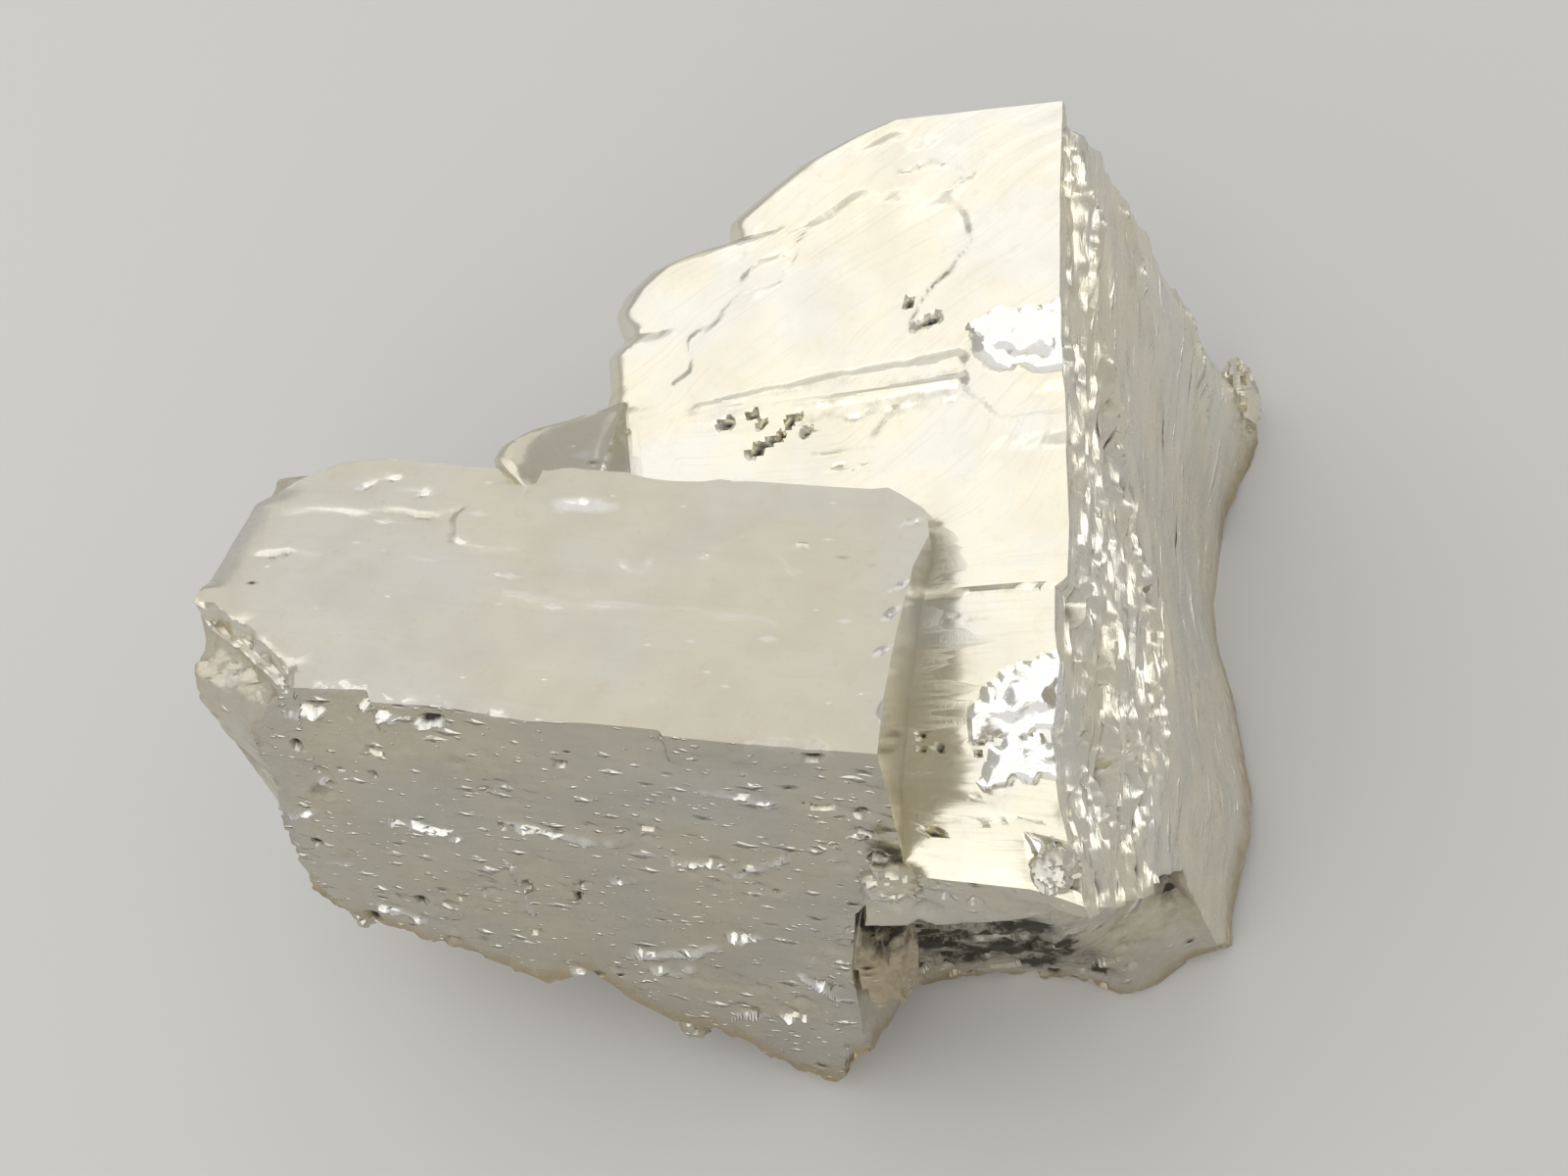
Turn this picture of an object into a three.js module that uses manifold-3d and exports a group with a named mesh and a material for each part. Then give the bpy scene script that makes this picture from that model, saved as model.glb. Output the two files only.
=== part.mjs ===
// Pyrite cluster: a long block and a larger cube grown through one another, with a low terrace
// behind the block, standing on the rough surface where they broke from the rock.
// Millimetres, +Z up; the origin is on the ground, under the middle of the specimen.
import * as THREE from 'three';
import { mergeVertices } from 'three/addons/utils/BufferGeometryUtils.js';
import Module from 'manifold-3d';

// block: x right along its length, y back, z up, from its front right top corner
const blockWidth = 21.4;
const blockCorner = [5.11, -25.85, 45.3];
const blockAxes = [[0.9671, -0.1795, 0.1803], [0.2057, 0.9686, -0.1393], [-0.1496, 0.1718, 0.9737]];
// cube: x right, y into its depth, z up, from the front lower corner of its bright face
const cubeEdge = 56.2;
const cubeCorner = [17.64, -32.82, 38.52];
const cubeAxes = [[0.9204, -0.0987, 0.3783], [0.3907, 0.196, -0.8994], [0.0146, 0.9756, 0.2189]];
const baseOverlap = 0.1; // the broken base reaches this far below the ground before it is cut level
const baseRoughness = 2;
const faceRoughness = 0.45;

const wasm = await Module();
wasm.setup();

// straight-line reading of a table of [position, value] pairs
const read = (table, at) => {
  if (at <= table[0][0]) return table[0][1];
  for (let i = 1; i < table.length; i++)
    if (at <= table[i][0]) {
      const [p, a] = table[i - 1];
      const [q, b] = table[i];
      return a + ((b - a) * (at - p)) / (q - p);
    }
  return table[table.length - 1][1];
};
const smooth = (at, from, to) => {
  const k = Math.min(Math.max((at - from) / (to - from), 0), 1);
  return k * k * (3 - 2 * k);
};
const mix = (a, b, k) => a + (b - a) * k;
const hash = (i, j, seed) => {
  const s = Math.sin(i * 12.9898 + j * 78.233 + seed * 37.719) * 43758.5453;
  return s - Math.floor(s);
};
// smooth lattice noise between -1 and 1
const noise = (p, q, seed) => {
  const i = Math.floor(p);
  const j = Math.floor(q);
  const a = smooth(p - i, 0, 1);
  const b = smooth(q - j, 0, 1);
  const low = mix(hash(i, j, seed), hash(i + 1, j, seed), a);
  const high = mix(hash(i, j + 1, seed), hash(i + 1, j + 1, seed), a);
  return 2 * mix(low, high, b) - 1;
};
const bump = (d) => Math.exp(-d * d);

// ---- the cube ----
// left outline of the bright face: lobes of growth above, buried in the block below
const cubeLobes = [
  [0, -14.5], [3, -14.5], [5, -20], [8, -29], [14, -31], [32, -32], [34, -34], [36, -34.6],
  [37.9, -34.8], [39, -34.4], [41.7, -34.6], [43.1, -33.6], [45.1, -34.1], [46.5, -33.4],
  [47.8, -31.7], [48.8, -28.8], [49.4, -25.4], [50.8, -25.2], [52.4, -23], [54.3, -20],
  [55.4, -17], [56.2, -14],
];
// square steps that the left side settles to below the lobes, inside the block at the foot
const cubeSteps = [
  [0, -24], [3, -24], [5, -25], [8, -29], [14, -31], [31.5, -31], [32, -34], [42.6, -34.4],
  [43.1, -33.2], [47, -33.2], [47.8, -30.5], [49.3, -30.3], [49.8, -27.4], [56.2, -27.2],
];
// chipped right edge of the bright face, by height
const cubeEdgeChips = [
  [0, 0], [3.1, -0.4], [6.7, -1.2], [11.2, -1.6], [15.7, -1], [18, -1.2], [20.8, -1.1],
  [21.2, -0.2], [25, 0], [34.9, -0.2], [38.4, -0.4], [42, -0.3], [50, -0.1], [56, 0.2],
];
// how far the right face swells or sinks at the base, by height
const cubeRimSwell = [
  [0, 0], [3, 0], [7, 0.6], [11, 1.8], [14, 1.7], [18, 0.8], [24, -0.2], [30, -1.7], [34, -2.1],
  [41, -1.3], [47, 0.1], [51, 1.1], [54, 0.9], [57, -0.6],
];
// broken lower edge of the right face, by depth
const cubeLowBreak = [
  [0, 0], [1.6, -0.6], [5.8, 0.9], [9.4, 1.3], [17, 2.8], [17.6, 4], [24, 6.4], [27, 6.8],
  [29.7, 5.1], [35.5, 3.4], [43, 3.4], [50, 4],
];
// rise of the low face along its front lip and along its rim at the ground, by distance right
const cubeLip = [[-24, 4.4], [-14.5, 3.1], [-3.5, 1.3], [-1.5, 0.6], [0, 0]];
const cubeLowRim = [
  [-24, 0.3], [-21.8, 0.8], [-18.2, 1.2], [-15.2, 1.1], [-11.2, 0.8], [-8.2, 0], [-6.7, 0.2],
  [-3.2, 2.5], [0, 4],
];
// crest that parts the rough front strip of the right face from its smoother back, by height
const cubeCrest = [[0, 18], [13, 21], [25, 20.6], [34, 15.4], [39.5, 8.2], [51, 5.3], [56, 4]];

// depth at which a line straight back from the bright face meets the ground
const cubeGround = (x, z) => 42.8 + 0.4206 * x + 0.2434 * z;
const cubeDepth = (x, z) => cubeGround(x, z) + baseOverlap
  + baseRoughness * noise(x / 5, z / 6, 3) * smooth(z, 1, 9);
const cubeFace = (x, z) => {
  const fromEdge = x - read(cubeLobes, z);
  const rounded = z > 30 ? 2.2 * Math.max(0, 1 - fromEdge / 3.2) ** 2 : 0;
  const swell = -0.9 * smooth(x, -22, -28);
  const grooves = bump((z - 43.2) / 0.9) + bump((z - 49.3) / 0.9) + 0.6 * bump((z - 37.6) / 0.8);
  const belowStep = 0.3 * smooth(z, 21.1, 20.5);
  const lowBevel = 1.3 * Math.max(0, 1 - z / (3.8 - 0.33 * x)) ** 1.2;
  return rounded + swell + 0.7 * grooves * smooth(fromEdge, 8, 1) + belowStep + lowBevel;
};
const cubeRight = (y, z) => {
  const crest = y - read(cubeCrest, z);
  const rough = smooth(crest, 3, -1);
  const ridges = 0.8 * bump(crest / 1.3) + 0.45 * bump((crest - 5) / 1.2) - 0.5 * rough;
  const grain = (0.25 + 0.75 * rough) * noise(y / 2.1, z / 7, 11);
  return read(cubeEdgeChips, z) * Math.exp(-y / 5) + read(cubeRimSwell, z) * (y / 50) ** 1.5
    + (ridges + 1.6 * faceRoughness * grain) * smooth(y, 0, 3);
};
const cubeLow = (x, y) => {
  const toGround = cubeGround(x, 0) - y;
  const lip = read(cubeLip, x) * Math.max(0, 1 - y / 8);
  const recess = 1.8 * smooth(y, 6.6, 8.4) * smooth(toGround, 1, 7) * smooth(x, -2, -8);
  const rim = read(cubeLowRim, x) * smooth(toGround, 7, 1);
  const broken = read(cubeLowBreak, y) * smooth(x, -7.5, -0.8) * smooth(toGround, 0.5, 8);
  return lip + recess + rim + broken + 0.5 * noise(x / 3, y / 4, 5) * smooth(y, 8, 11);
};
const cubeBack = (x, y) => 0.08 * Math.min(-x, 14) - 0.5 + 0.7 * smooth(y, 9.5, 10.3) * smooth(x, -5, -6)
  - 1.1 * smooth(y, 23, 23.8) - 0.8 * smooth(y, 37, 37.6) + 0.25 * noise(x / 9, y / 3, 8) * smooth(y, 1, 4);
const cubeHidden = (y, z) => 0.8 * smooth(y, 15, 15.6) + 0.9 * smooth(y, 27.5, 28.2)
  + 0.3 * noise(y / 4, z / 6, 9);
// left side at one depth: the lobes of the face, then the square steps
const cubeLeft = (y, z) => {
  const lobe = read(cubeLobes, z);
  return mix(lobe, Math.max(read(cubeSteps, z), lobe - 0.36 * y), smooth(y, 1.2, 4));
};

const cubeShape = (t, s, z0) => {
  const y1 = s * cubeDepth(read(cubeLobes, z0) * (1 - t), z0);
  const x0 = cubeLeft(y1, z0) * (1 - t);
  const y0 = s * cubeDepth(x0, z0);
  const k = z0 / cubeEdge;
  return [
    x0 + cubeRight(y0, z0) * t ** 3 + cubeHidden(y0, z0) * (1 - t) ** 3,
    y0 + cubeFace(x0, z0) * (1 - s) ** 4,
    z0 + cubeLow(x0, y0) * (1 - k) ** 4 + cubeBack(x0, y0) * k ** 8,
  ];
};

// ---- the block ----
// left end of the top face and of the base, by distance back
const blockLeftTop = [
  [0, -40.5], [1.5, -41.6], [4, -44.6], [6, -47.6], [7.5, -49.2], [11, -48.8], [17, -48],
  [19.2, -45.5], [20.5, -43], [21.4, -38.9],
];
// its broken front corner and its back part, by height
const blockLeftFront = [[-24, -45.4], [-18.4, -45], [-13.3, -44.2], [-9.8, -44.4], [-4, -44], [-2, -42.6], [0, -40.5]];
const blockLeftBack = [[-24, -45.4], [-18, -47], [-14, -48.3], [-10, -49], [-7, -50.1], [-3, -49.4], [0, -49.6]];
const blockRightTop = [[0, 0], [4, -0.4], [9, -0.5], [15, -0.4], [17.7, 0.2], [19.8, -0.4], [21.4, -3.3]];
// chipped front edge, by x
const blockFrontEdge = [
  [-41, 1.2], [-34.4, 1.7], [-33.8, 0.7], [-29.3, 0.9], [-23, 0.3], [-19, 0.5], [-14.1, 0.4],
  [-13.8, 0], [-10, -0.1], [0, 0],
];
// how far down the front face reaches, by x
const blockDrop = [
  [-48, 20], [-45, 23.6], [-43.7, 26], [-40.1, 27.4], [-29.1, 32.9], [-25.5, 30.8], [-22.5, 34.4],
  [-20.1, 37.5], [-16.6, 37.5], [-14.2, 39.2], [-11, 43], [-7.3, 43.6], [-6, 42.5], [-4.8, 39.1], [0, 38],
];
// front right edge, by height
const blockRightEdge = [
  [-44, -6.5], [-42.5, -6], [-39, -4.8], [-35.7, -5.4], [-26, -5], [-18.8, -3.8], [-13, 0.2], [-10.5, 0.3], [0, 0],
];

const blockDepth = (x, y) => read(blockDrop, x) + 0.35 * y + baseRoughness * noise(x / 5, y / 5, 2) * smooth(y, 0, 4);
const blockFront = (x, z) => {
  const edge = read(blockFrontEdge, x) * smooth(z, -6, 0);
  const beds = 0.3 * noise(x / 9, z / 1.6, 21) + 0.5 * noise(x / 4, z / 3, 22);
  return edge + faceRoughness * 1.4 * beds * smooth(z, 0, -1.5);
};
const blockTop = (x, y) => 0.35 * smooth(y, 15.8, 17) * smooth(x, -35, -37) + 0.3 * smooth(y, 12, 13) * smooth(x, -30, -32)
  - 0.25 * smooth(y, 9.6, 10.2);
const blockBack = (x, z) => 0.9 * smooth(z, -8, -8.8) + 0.7 * smooth(z, -19, -20) + 0.4 * noise(x / 6, z / 3, 23);

const blockShape = (t, v, w) => {
  const y0 = v * blockWidth;
  const z1 = 30 * w;
  const broken = mix(read(blockLeftFront, z1), read(blockLeftBack, z1), smooth(y0, 0, 4));
  const corner = read(blockLeftTop, y0) - mix(-40.5, -49.6, smooth(y0, 0, 4));
  const x1 = mix(broken + Math.max(0, corner) * smooth(w, -0.1, 0), read(blockRightTop, y0), t);
  const z0 = w * blockDepth(x1, y0);
  const x0 = x1 + read(blockRightEdge, z0) * t ** 9 * (1 - v);
  return [
    x0 + 0.5 * noise(y0 / 3, z0 / 3, 24) * (1 - t) ** 6 * smooth(z0, 0, -1),
    y0 + blockFront(x0, z0) * (1 - v) ** 3 + blockBack(x0, z0) * v ** 4,
    z0 + blockTop(x0, y0) * (1 + w) ** 3,
  ];
};

// ---- ways of making the solids ----
const lines = (from, to, count) => Array.from({ length: count + 1 }, (_, i) => mix(from, to, i / count));
const place = (axes, corner) => new THREE.Matrix4()
  .makeBasis(...axes.map((a) => new THREE.Vector3(...a).normalize())).setPosition(...corner);
const toSolid = (geometry) => {
  geometry.deleteAttribute('normal');
  geometry.deleteAttribute('uv');
  const merged = mergeVertices(geometry, 1e-4);
  return new wasm.Manifold(new wasm.Mesh({
    numProp: 3,
    vertProperties: merged.attributes.position.array,
    triVerts: new Uint32Array(merged.index.array),
  }));
};
const fromTriangles = (triangles) => new THREE.BufferGeometry()
  .setAttribute('position', new THREE.Float32BufferAttribute(triangles.flat(2), 3));

// a box whose six faces are grids, every point moved by shape(u, v, w)
const shapedBox = (us, vs, ws, shape) => {
  const triangles = [];
  const sheet = (ps, qs, at, flip) => {
    for (let i = 1; i < ps.length; i++)
      for (let j = 1; j < qs.length; j++) {
        const quad = [[i - 1, j - 1], [i, j - 1], [i, j], [i - 1, j]].map(([a, b]) => shape(...at(ps[a], qs[b])));
        if (flip) quad.reverse();
        const apart = (a, b) => Math.hypot(...a.map((_, k) => a[k] - b[k]));
        const turn = apart(quad[0], quad[2]) < apart(quad[1], quad[3]) ? 0 : 1;
        const [a, b, c, d] = [0, 1, 2, 3].map((k) => quad[(k + turn) % 4]);
        triangles.push([a, b, c], [a, c, d]);
      }
  };
  const ends = (list) => [list[0], list[list.length - 1]];
  ends(ws).forEach((w, k) => sheet(us, vs, (p, q) => [p, q, w], !k));
  ends(us).forEach((u, k) => sheet(vs, ws, (p, q) => [u, p, q], !k));
  ends(vs).forEach((v, k) => sheet(ws, us, (p, q) => [q, v, p], !k));
  return fromTriangles(triangles);
};

// rings of one outline, each at a level and drawn in by an inset, closed at both ends
const stack = (outline, levels) => {
  const middle = [0, 1].map((k) => outline.reduce((sum, p) => sum + p[k], 0) / outline.length);
  const rings = levels.map(([level, inset]) => outline.map((p) => {
    const reach = Math.hypot(p[0] - middle[0], p[1] - middle[1]);
    const k = 1 - inset / reach;
    return [mix(middle[0], p[0], k), mix(middle[1], p[1], k), level];
  }));
  const triangles = [];
  rings.slice(1).forEach((ring, i) => ring.forEach((p, j) => {
    const n = (j + 1) % ring.length;
    triangles.push([rings[i][j], rings[i][n], ring[n]], [rings[i][j], ring[n], p]);
  }));
  const cap = THREE.ShapeUtils.triangulateShape(outline.map((p) => new THREE.Vector2(...p)), []);
  cap.forEach(([a, b, c]) => {
    triangles.push([rings[0][a], rings[0][c], rings[0][b]]);
    const top = rings[rings.length - 1];
    triangles.push([top[a], top[b], top[c]]);
  });
  return fromTriangles(triangles);
};
// level of a stack on the bright face: outwards is the cube's -y
const ontoFace = new THREE.Matrix4().makeBasis(
  new THREE.Vector3(1, 0, 0), new THREE.Vector3(0, 0, 1), new THREE.Vector3(0, -1, 0),
);

// an uneven stone-like lump with its three half sizes
const lump = (at, sizes, seed, detail = 1) => {
  const geometry = new THREE.IcosahedronGeometry(1, detail);
  const points = geometry.attributes.position;
  for (let i = 0; i < points.count; i++) {
    const p = [points.getX(i), points.getY(i), points.getZ(i)];
    const k = 1 + 0.22 * (2 * hash(Math.round(p[0] * 40), Math.round(p[1] * 40 + p[2] * 90), seed) - 1);
    points.setXYZ(i, ...p.map((value, axis) => at[axis] + value * sizes[axis] * k));
  }
  return geometry;
};

const blockPlace = place(blockAxes, blockCorner);
const cubePlace = place(cubeAxes, cubeCorner);
const inBlock = (geometry) => toSolid(geometry.applyMatrix4(blockPlace));
const inCube = (geometry) => toSolid(geometry.applyMatrix4(cubePlace));

// ---- the two crystals ----
const cubeHeights = [...cubeLobes.map(([z]) => z).filter((z) => z > 33), 1.5, 3, 5, 7, 9, 11.2, 13.5,
  15.7, 18, 20.4, 21.2, 24, 27, 30, 32, 0].sort((a, b) => a - b);
const cube = inCube(shapedBox(
  [0, 0.04, 0.09, ...lines(0.16, 0.9, 9), 0.96, 1],
  [0, 0.03, ...lines(0.07, 0.45, 8), ...lines(0.53, 0.93, 5), 1], cubeHeights, cubeShape,
));
const block = inBlock(shapedBox(
  [0, ...blockFrontEdge.map(([x]) => 1 + x / 41).filter((t) => t > 0.1 && t < 0.95), ...lines(0.05, 0.8, 11), 0.85, 0.89, 0.93, 0.965, 1]
    .sort((a, b) => a - b).filter((t, i, all) => !i || t - all[i - 1] > 0.008),
  [0, 0.07, 0.16, 0.26, 0.34, 0.45, 0.56, 0.68, 0.8, 0.9, 0.96, 1],
  [-1, -0.93, ...lines(-0.84, -0.12, 9), -0.05, 0], blockShape,
));

// low terrace behind the block, its left end rounded off
const terraceOutline = [
  [-31.3, 21.7], [-29.4, 20], [-27.2, 18.7], [-24.5, 18.5], [-21.4, 21.2], [-22.5, 22.6],
  [-23.3, 24.7], [-23.9, 26.4], [-24.5, 27.1], [-27.5, 25.6], [-30, 24], [-31.2, 22.8],
];
const terrace = inBlock(stack(terraceOutline, [[-12.5, 1.2], [-11.6, 0.2], [-1, 0], [0.2, 0.1], [0.8, 0.9]]));

// raised growths on the bright face
const islandOutline = [
  [-28, 39.7], [-25.7, 37.4], [-20.4, 37.9], [-14.5, 39.2], [-10.6, 40.4], [-7.7, 43.2], [-6.6, 46.3],
  [-7.7, 48.8], [-9.4, 49.8], [-13.1, 49.7], [-16.8, 48.5], [-20.5, 45.3], [-24.7, 44.5], [-26.6, 43.3],
];
const island = inCube(stack(islandOutline, [[-1, 0], [0.1, 0], [0.65, 1.1]]).applyMatrix4(ontoFace));
const shelfOutline = [[-26.3, 36.6], [-20.1, 34.6], [-8, 34.2], [-6.6, 35.8], [-7, 37.4], [-11.2, 37], [-20, 36.8]];
const shelf = inCube(stack(shelfOutline, [[-1, 0], [0.1, 0], [0.45, 0.5]]).applyMatrix4(ontoFace));
const capOutline = [[-13.5, 51.2], [-7.2, 51.6], [-6.8, 52.8], [-9, 54.6], [-13, 55], [-16.6, 53.6], [-17, 52]];
const topSwell = inCube(stack(capOutline, [[-1, 0], [0.1, 0], [0.5, 0.8]]).applyMatrix4(ontoFace));

// lumps, and the gold-brown broken crust between the two crystals
const knobs = [
  inCube(lump([0.6, 51.5, 52.6], [1.6, 3.2, 3.4], 1)),
  inCube(lump([-13, 1, 1.2], [2.3, 1.9, 1.7], 2)),
  inBlock(lump([-42.4, 1.6, -27.3], [1.5, 1.6, 1.5], 3)),
  inBlock(lump([-18.9, 1.2, -38.3], [1.2, 1.4, 1.6], 4)),
  inBlock(lump([-3.6, 3.4, -26], [2.2, 3, 8.5], 5)),
];

// chips, the hole of the right face, the pit rows and the broken front edge
const chips = [
  inCube(lump([-3.2, -0.4, 38.3], [3.6, 1.1, 2.6], 6)),
  inCube(lump([-2.4, -0.4, 11.2], [3, 1.2, 4.6], 7)),
  inCube(lump([-1.8, -0.3, 2.9], [1.9, 1.5, 1.8], 8)),
  inCube(lump([0.4, 8.6, 9.4], [1.8, 1.3, 2.4], 9)),
  inCube(lump([0.6, 14, 3.6], [2, 2.4, 2], 10)),
  inCube(lump([-24, -0.9, 35.4], [1.4, 0.8, 0.7], 11)),
  inCube(lump([-21.4, -0.9, 33.9], [1.6, 0.8, 0.8], 12)),
  inCube(lump([-18.6, -0.9, 34.6], [1.3, 0.8, 0.7], 13)),
  inBlock(lump([-25.2, 18.9, 0.7], [1.9, 1.1, 0.5], 14)),
  inBlock(lump([0.2, 8.2, 0.2], [1, 1.6, 0.8], 15)),
  inBlock(lump([-35, 0, -1], [2.4, 1.1, 1], 16)),
  inBlock(lump([-4.5, -0.3, -1], [1.5, 0.8, 0.9], 17)),
  inBlock(lump([-47, 3.4, -5], [2.4, 3.4, 3], 18)),
];

const ground = toSolid(new THREE.BoxGeometry(200, 200, 60).translate(0, 0, -30));
let solid = cube.add(block).add(terrace).add(island).add(shelf).add(topSwell);
knobs.forEach((knob) => { solid = solid.add(knob); });
chips.forEach((chip) => { solid = solid.subtract(chip); });
solid = solid.subtract(ground);

// only the body itself is kept: a boolean can leave a loose crumb
const body = solid.decompose().sort((a, b) => b.volume() - a.volume())[0].simplify(0.03);
const made = body.getMesh();
const clusterGeometry = new THREE.BufferGeometry()
  .setAttribute('position', new THREE.Float32BufferAttribute(made.vertProperties, 3));
clusterGeometry.setIndex(Array.from(made.triVerts));

const cluster = new THREE.Mesh(clusterGeometry.toNonIndexed(), new THREE.MeshStandardMaterial({
  color: 0xcfc6aa, roughness: 0.3, metalness: 1, flatShading: true,
}));
cluster.name = 'pyrite_cluster';

const group = new THREE.Group();
group.add(cluster);
export default group;
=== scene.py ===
# A pyrite cluster: a long block and a larger cube grown through one another.
from math import pi, radians

import bpy
import numpy as np
from mathutils import Euler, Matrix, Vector


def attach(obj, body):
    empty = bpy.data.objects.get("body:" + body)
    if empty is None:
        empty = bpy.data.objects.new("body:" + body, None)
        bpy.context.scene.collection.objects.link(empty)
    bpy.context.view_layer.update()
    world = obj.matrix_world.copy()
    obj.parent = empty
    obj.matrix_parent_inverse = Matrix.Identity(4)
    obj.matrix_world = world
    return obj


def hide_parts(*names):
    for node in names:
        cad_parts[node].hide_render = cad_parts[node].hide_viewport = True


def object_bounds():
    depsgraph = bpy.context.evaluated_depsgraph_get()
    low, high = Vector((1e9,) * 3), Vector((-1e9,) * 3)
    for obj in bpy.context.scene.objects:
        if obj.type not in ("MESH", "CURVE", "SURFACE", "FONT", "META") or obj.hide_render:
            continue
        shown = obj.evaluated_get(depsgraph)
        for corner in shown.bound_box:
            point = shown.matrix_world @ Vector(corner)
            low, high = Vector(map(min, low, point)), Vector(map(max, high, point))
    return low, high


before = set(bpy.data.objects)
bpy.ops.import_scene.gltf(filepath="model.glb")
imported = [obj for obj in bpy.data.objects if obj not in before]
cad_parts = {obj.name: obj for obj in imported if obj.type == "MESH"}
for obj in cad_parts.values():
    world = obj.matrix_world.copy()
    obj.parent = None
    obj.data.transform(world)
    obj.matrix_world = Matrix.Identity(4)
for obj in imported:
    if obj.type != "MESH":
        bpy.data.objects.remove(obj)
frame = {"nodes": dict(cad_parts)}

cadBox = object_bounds()
mm = 0.001
print("frame loaded:", ", ".join(frame["nodes"]))


# tables, noise and outlines below all work on whole arrays

# straight-line reading of a table of (place, value) rows
def read(table, at):
    rows = np.array(table, float)
    return np.interp(at, rows[:, 0], rows[:, 1])


# 0 before the start, 1 past the end, an S curve 3k^2 - 2k^3 between
def smooth(at, start, end):
    k = np.clip((at - start) / (end - start), 0, 1)
    return k * k * (3 - 2 * k)


# each row divided by its length
def unit(axes):
    rows = np.array(axes, float)
    return rows / np.linalg.norm(rows, axis=1, keepdims=True)


# a at share 0, b at share 1
def mix(a, b, k):
    return a + (b - a) * k


# the highest of several levels at each place
def most(*levels):
    return np.maximum.reduce(levels)


# the bell curve e^(-d^2)
def bump(d):
    return np.exp(-d * d)


# fraction of a large sine of the lattice place: one fixed value per cell, 0 to 1
def scatter(i, j, seed):
    s = np.sin(i * 12.9898 + j * 78.233 + seed * 37.719) * 43758.5453
    return s - np.floor(s)


# lattice values blended by S curves in both directions, -1 to 1
def noise(p, q, seed):
    i, j = np.floor(p), np.floor(q)
    a, b = smooth(p - i, 0, 1), smooth(q - j, 0, 1)
    low = mix(scatter(i, j, seed), scatter(i + 1, j, seed), a)
    high = mix(scatter(i, j + 1, seed), scatter(i + 1, j + 1, seed), a)
    return 2 * mix(low, high, b) - 1


# three layers of noise, each half as wide and half as strong as the last
def rumple(p, q, seed):
    return (noise(p, q, seed) + 0.5 * noise(2.1 * p, 2.1 * q, seed + 1)
            + 0.25 * noise(4.3 * p, 4.3 * q, seed + 2)) / 1.75


# the nine lattice cells round each place: their numbers, and the way from each cell's own point
def nearCells(p, q, seed):
    for di in (-1, 0, 1):
        for dj in (-1, 0, 1):
            i, j = np.floor(p) + di, np.floor(q) + dj
            yield i, j, p - i - scatter(i, j, seed), q - j - scatter(i, j, seed + 1)


# small flat facets: each place takes the plane of its nearest cell point,
# with the cell's own tilt and level; about -1 to 1
def facets(p, q, seed, tilt=1.6):
    nearest = np.full(np.shape(p), 99.0)
    level = np.zeros(np.shape(p))
    for i, j, dp, dq in nearCells(p, q, seed):
        gap = dp * dp + dq * dq
        plane = (scatter(i, j, seed + 2) - 0.5 + tilt * dp * (scatter(i, j, seed + 3) - 0.5)
                 + tilt * dq * (scatter(i, j, seed + 4) - 0.5))
        level = np.where(gap < nearest, plane, level)
        nearest = np.minimum(nearest, gap)
    return level


# steps of a staircase less its slope: rises slowly and drops at once, about -0.1 to 0.7
def saw(at):
    k = at - np.floor(at)
    return k - smooth(k, 0.82, 1) - 0.09


# distance to the nearest segment of a line through the points
def farFrom(p, q, path, closed=False):
    a = np.array(path, float)
    b = np.roll(a, -1, 0)
    if not closed:
        a, b = a[:-1], b[:-1]
    best = np.full(np.shape(p), 1e9)
    for (ax, ay), (bx, by) in zip(a, b):
        ex, ey = bx - ax, by - ay
        k = np.clip(((p - ax) * ex + (q - ay) * ey) / (ex * ex + ey * ey), 0, 1)
        best = np.minimum(best, np.hypot(p - ax - k * ex, q - ay - k * ey))
    return best


# how far inside a closed outline a place is, negative outside: the distance to its nearest
# side, signed by how often a line towards +p crosses it
def insideBy(p, q, outline):
    a = np.array(outline, float)
    inside = np.zeros(np.shape(p), bool)
    for (ax, ay), (bx, by) in zip(a, np.roll(a, -1, 0)):
        if ay != by:
            inside ^= ((ay > q) != (by > q)) & (p < ax + (q - ay) * (bx - ax) / (by - ay))
    return np.where(inside, 1.0, -1.0) * farFrom(p, q, outline, True)


# a bowl: 1 at its middle, 0 at the rim of a turned ellipse that noise makes uneven;
# square bowls measure by the longer side instead of round
def bowl(p, q, spot, square=0.0):
    atP, atQ, halfP, halfQ, turn, seed = spot
    c, s = np.cos(radians(turn)), np.sin(radians(turn))
    u, v = p - atP, q - atQ
    u, v = np.abs(u * c + v * s) / halfP, np.abs(v * c - u * s) / halfQ
    away = mix(np.hypot(u, v), np.maximum(u, v), square)
    return np.clip(1 - away - 0.3 * noise(p * 1.3, q * 1.3, seed), 0, 1)


# the bowls of a list added up, at most 1
def bowls(p, q, spots, square=0.0):
    return np.minimum(sum(bowl(p, q, spot, square) for spot in spots), 1)


# small flat-topped lozenges in a share of the lattice cells, from 0 to 1, leaning by their slope
def studs(p, q, seed, share, lean=0.0):
    level = np.zeros(np.shape(p))
    for i, j, dp, dq in nearCells(p, q, seed):
        size = 0.3 + 0.45 * scatter(i, j, seed + 2)
        peak = 1 - (np.abs(dp + lean * dq) + 0.8 * np.abs(dq - lean * dp)) / size
        level = np.where(scatter(i, j, seed + 3) < share, np.maximum(level, peak), level)
    return np.clip(level * 2, 0, 1)


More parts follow.
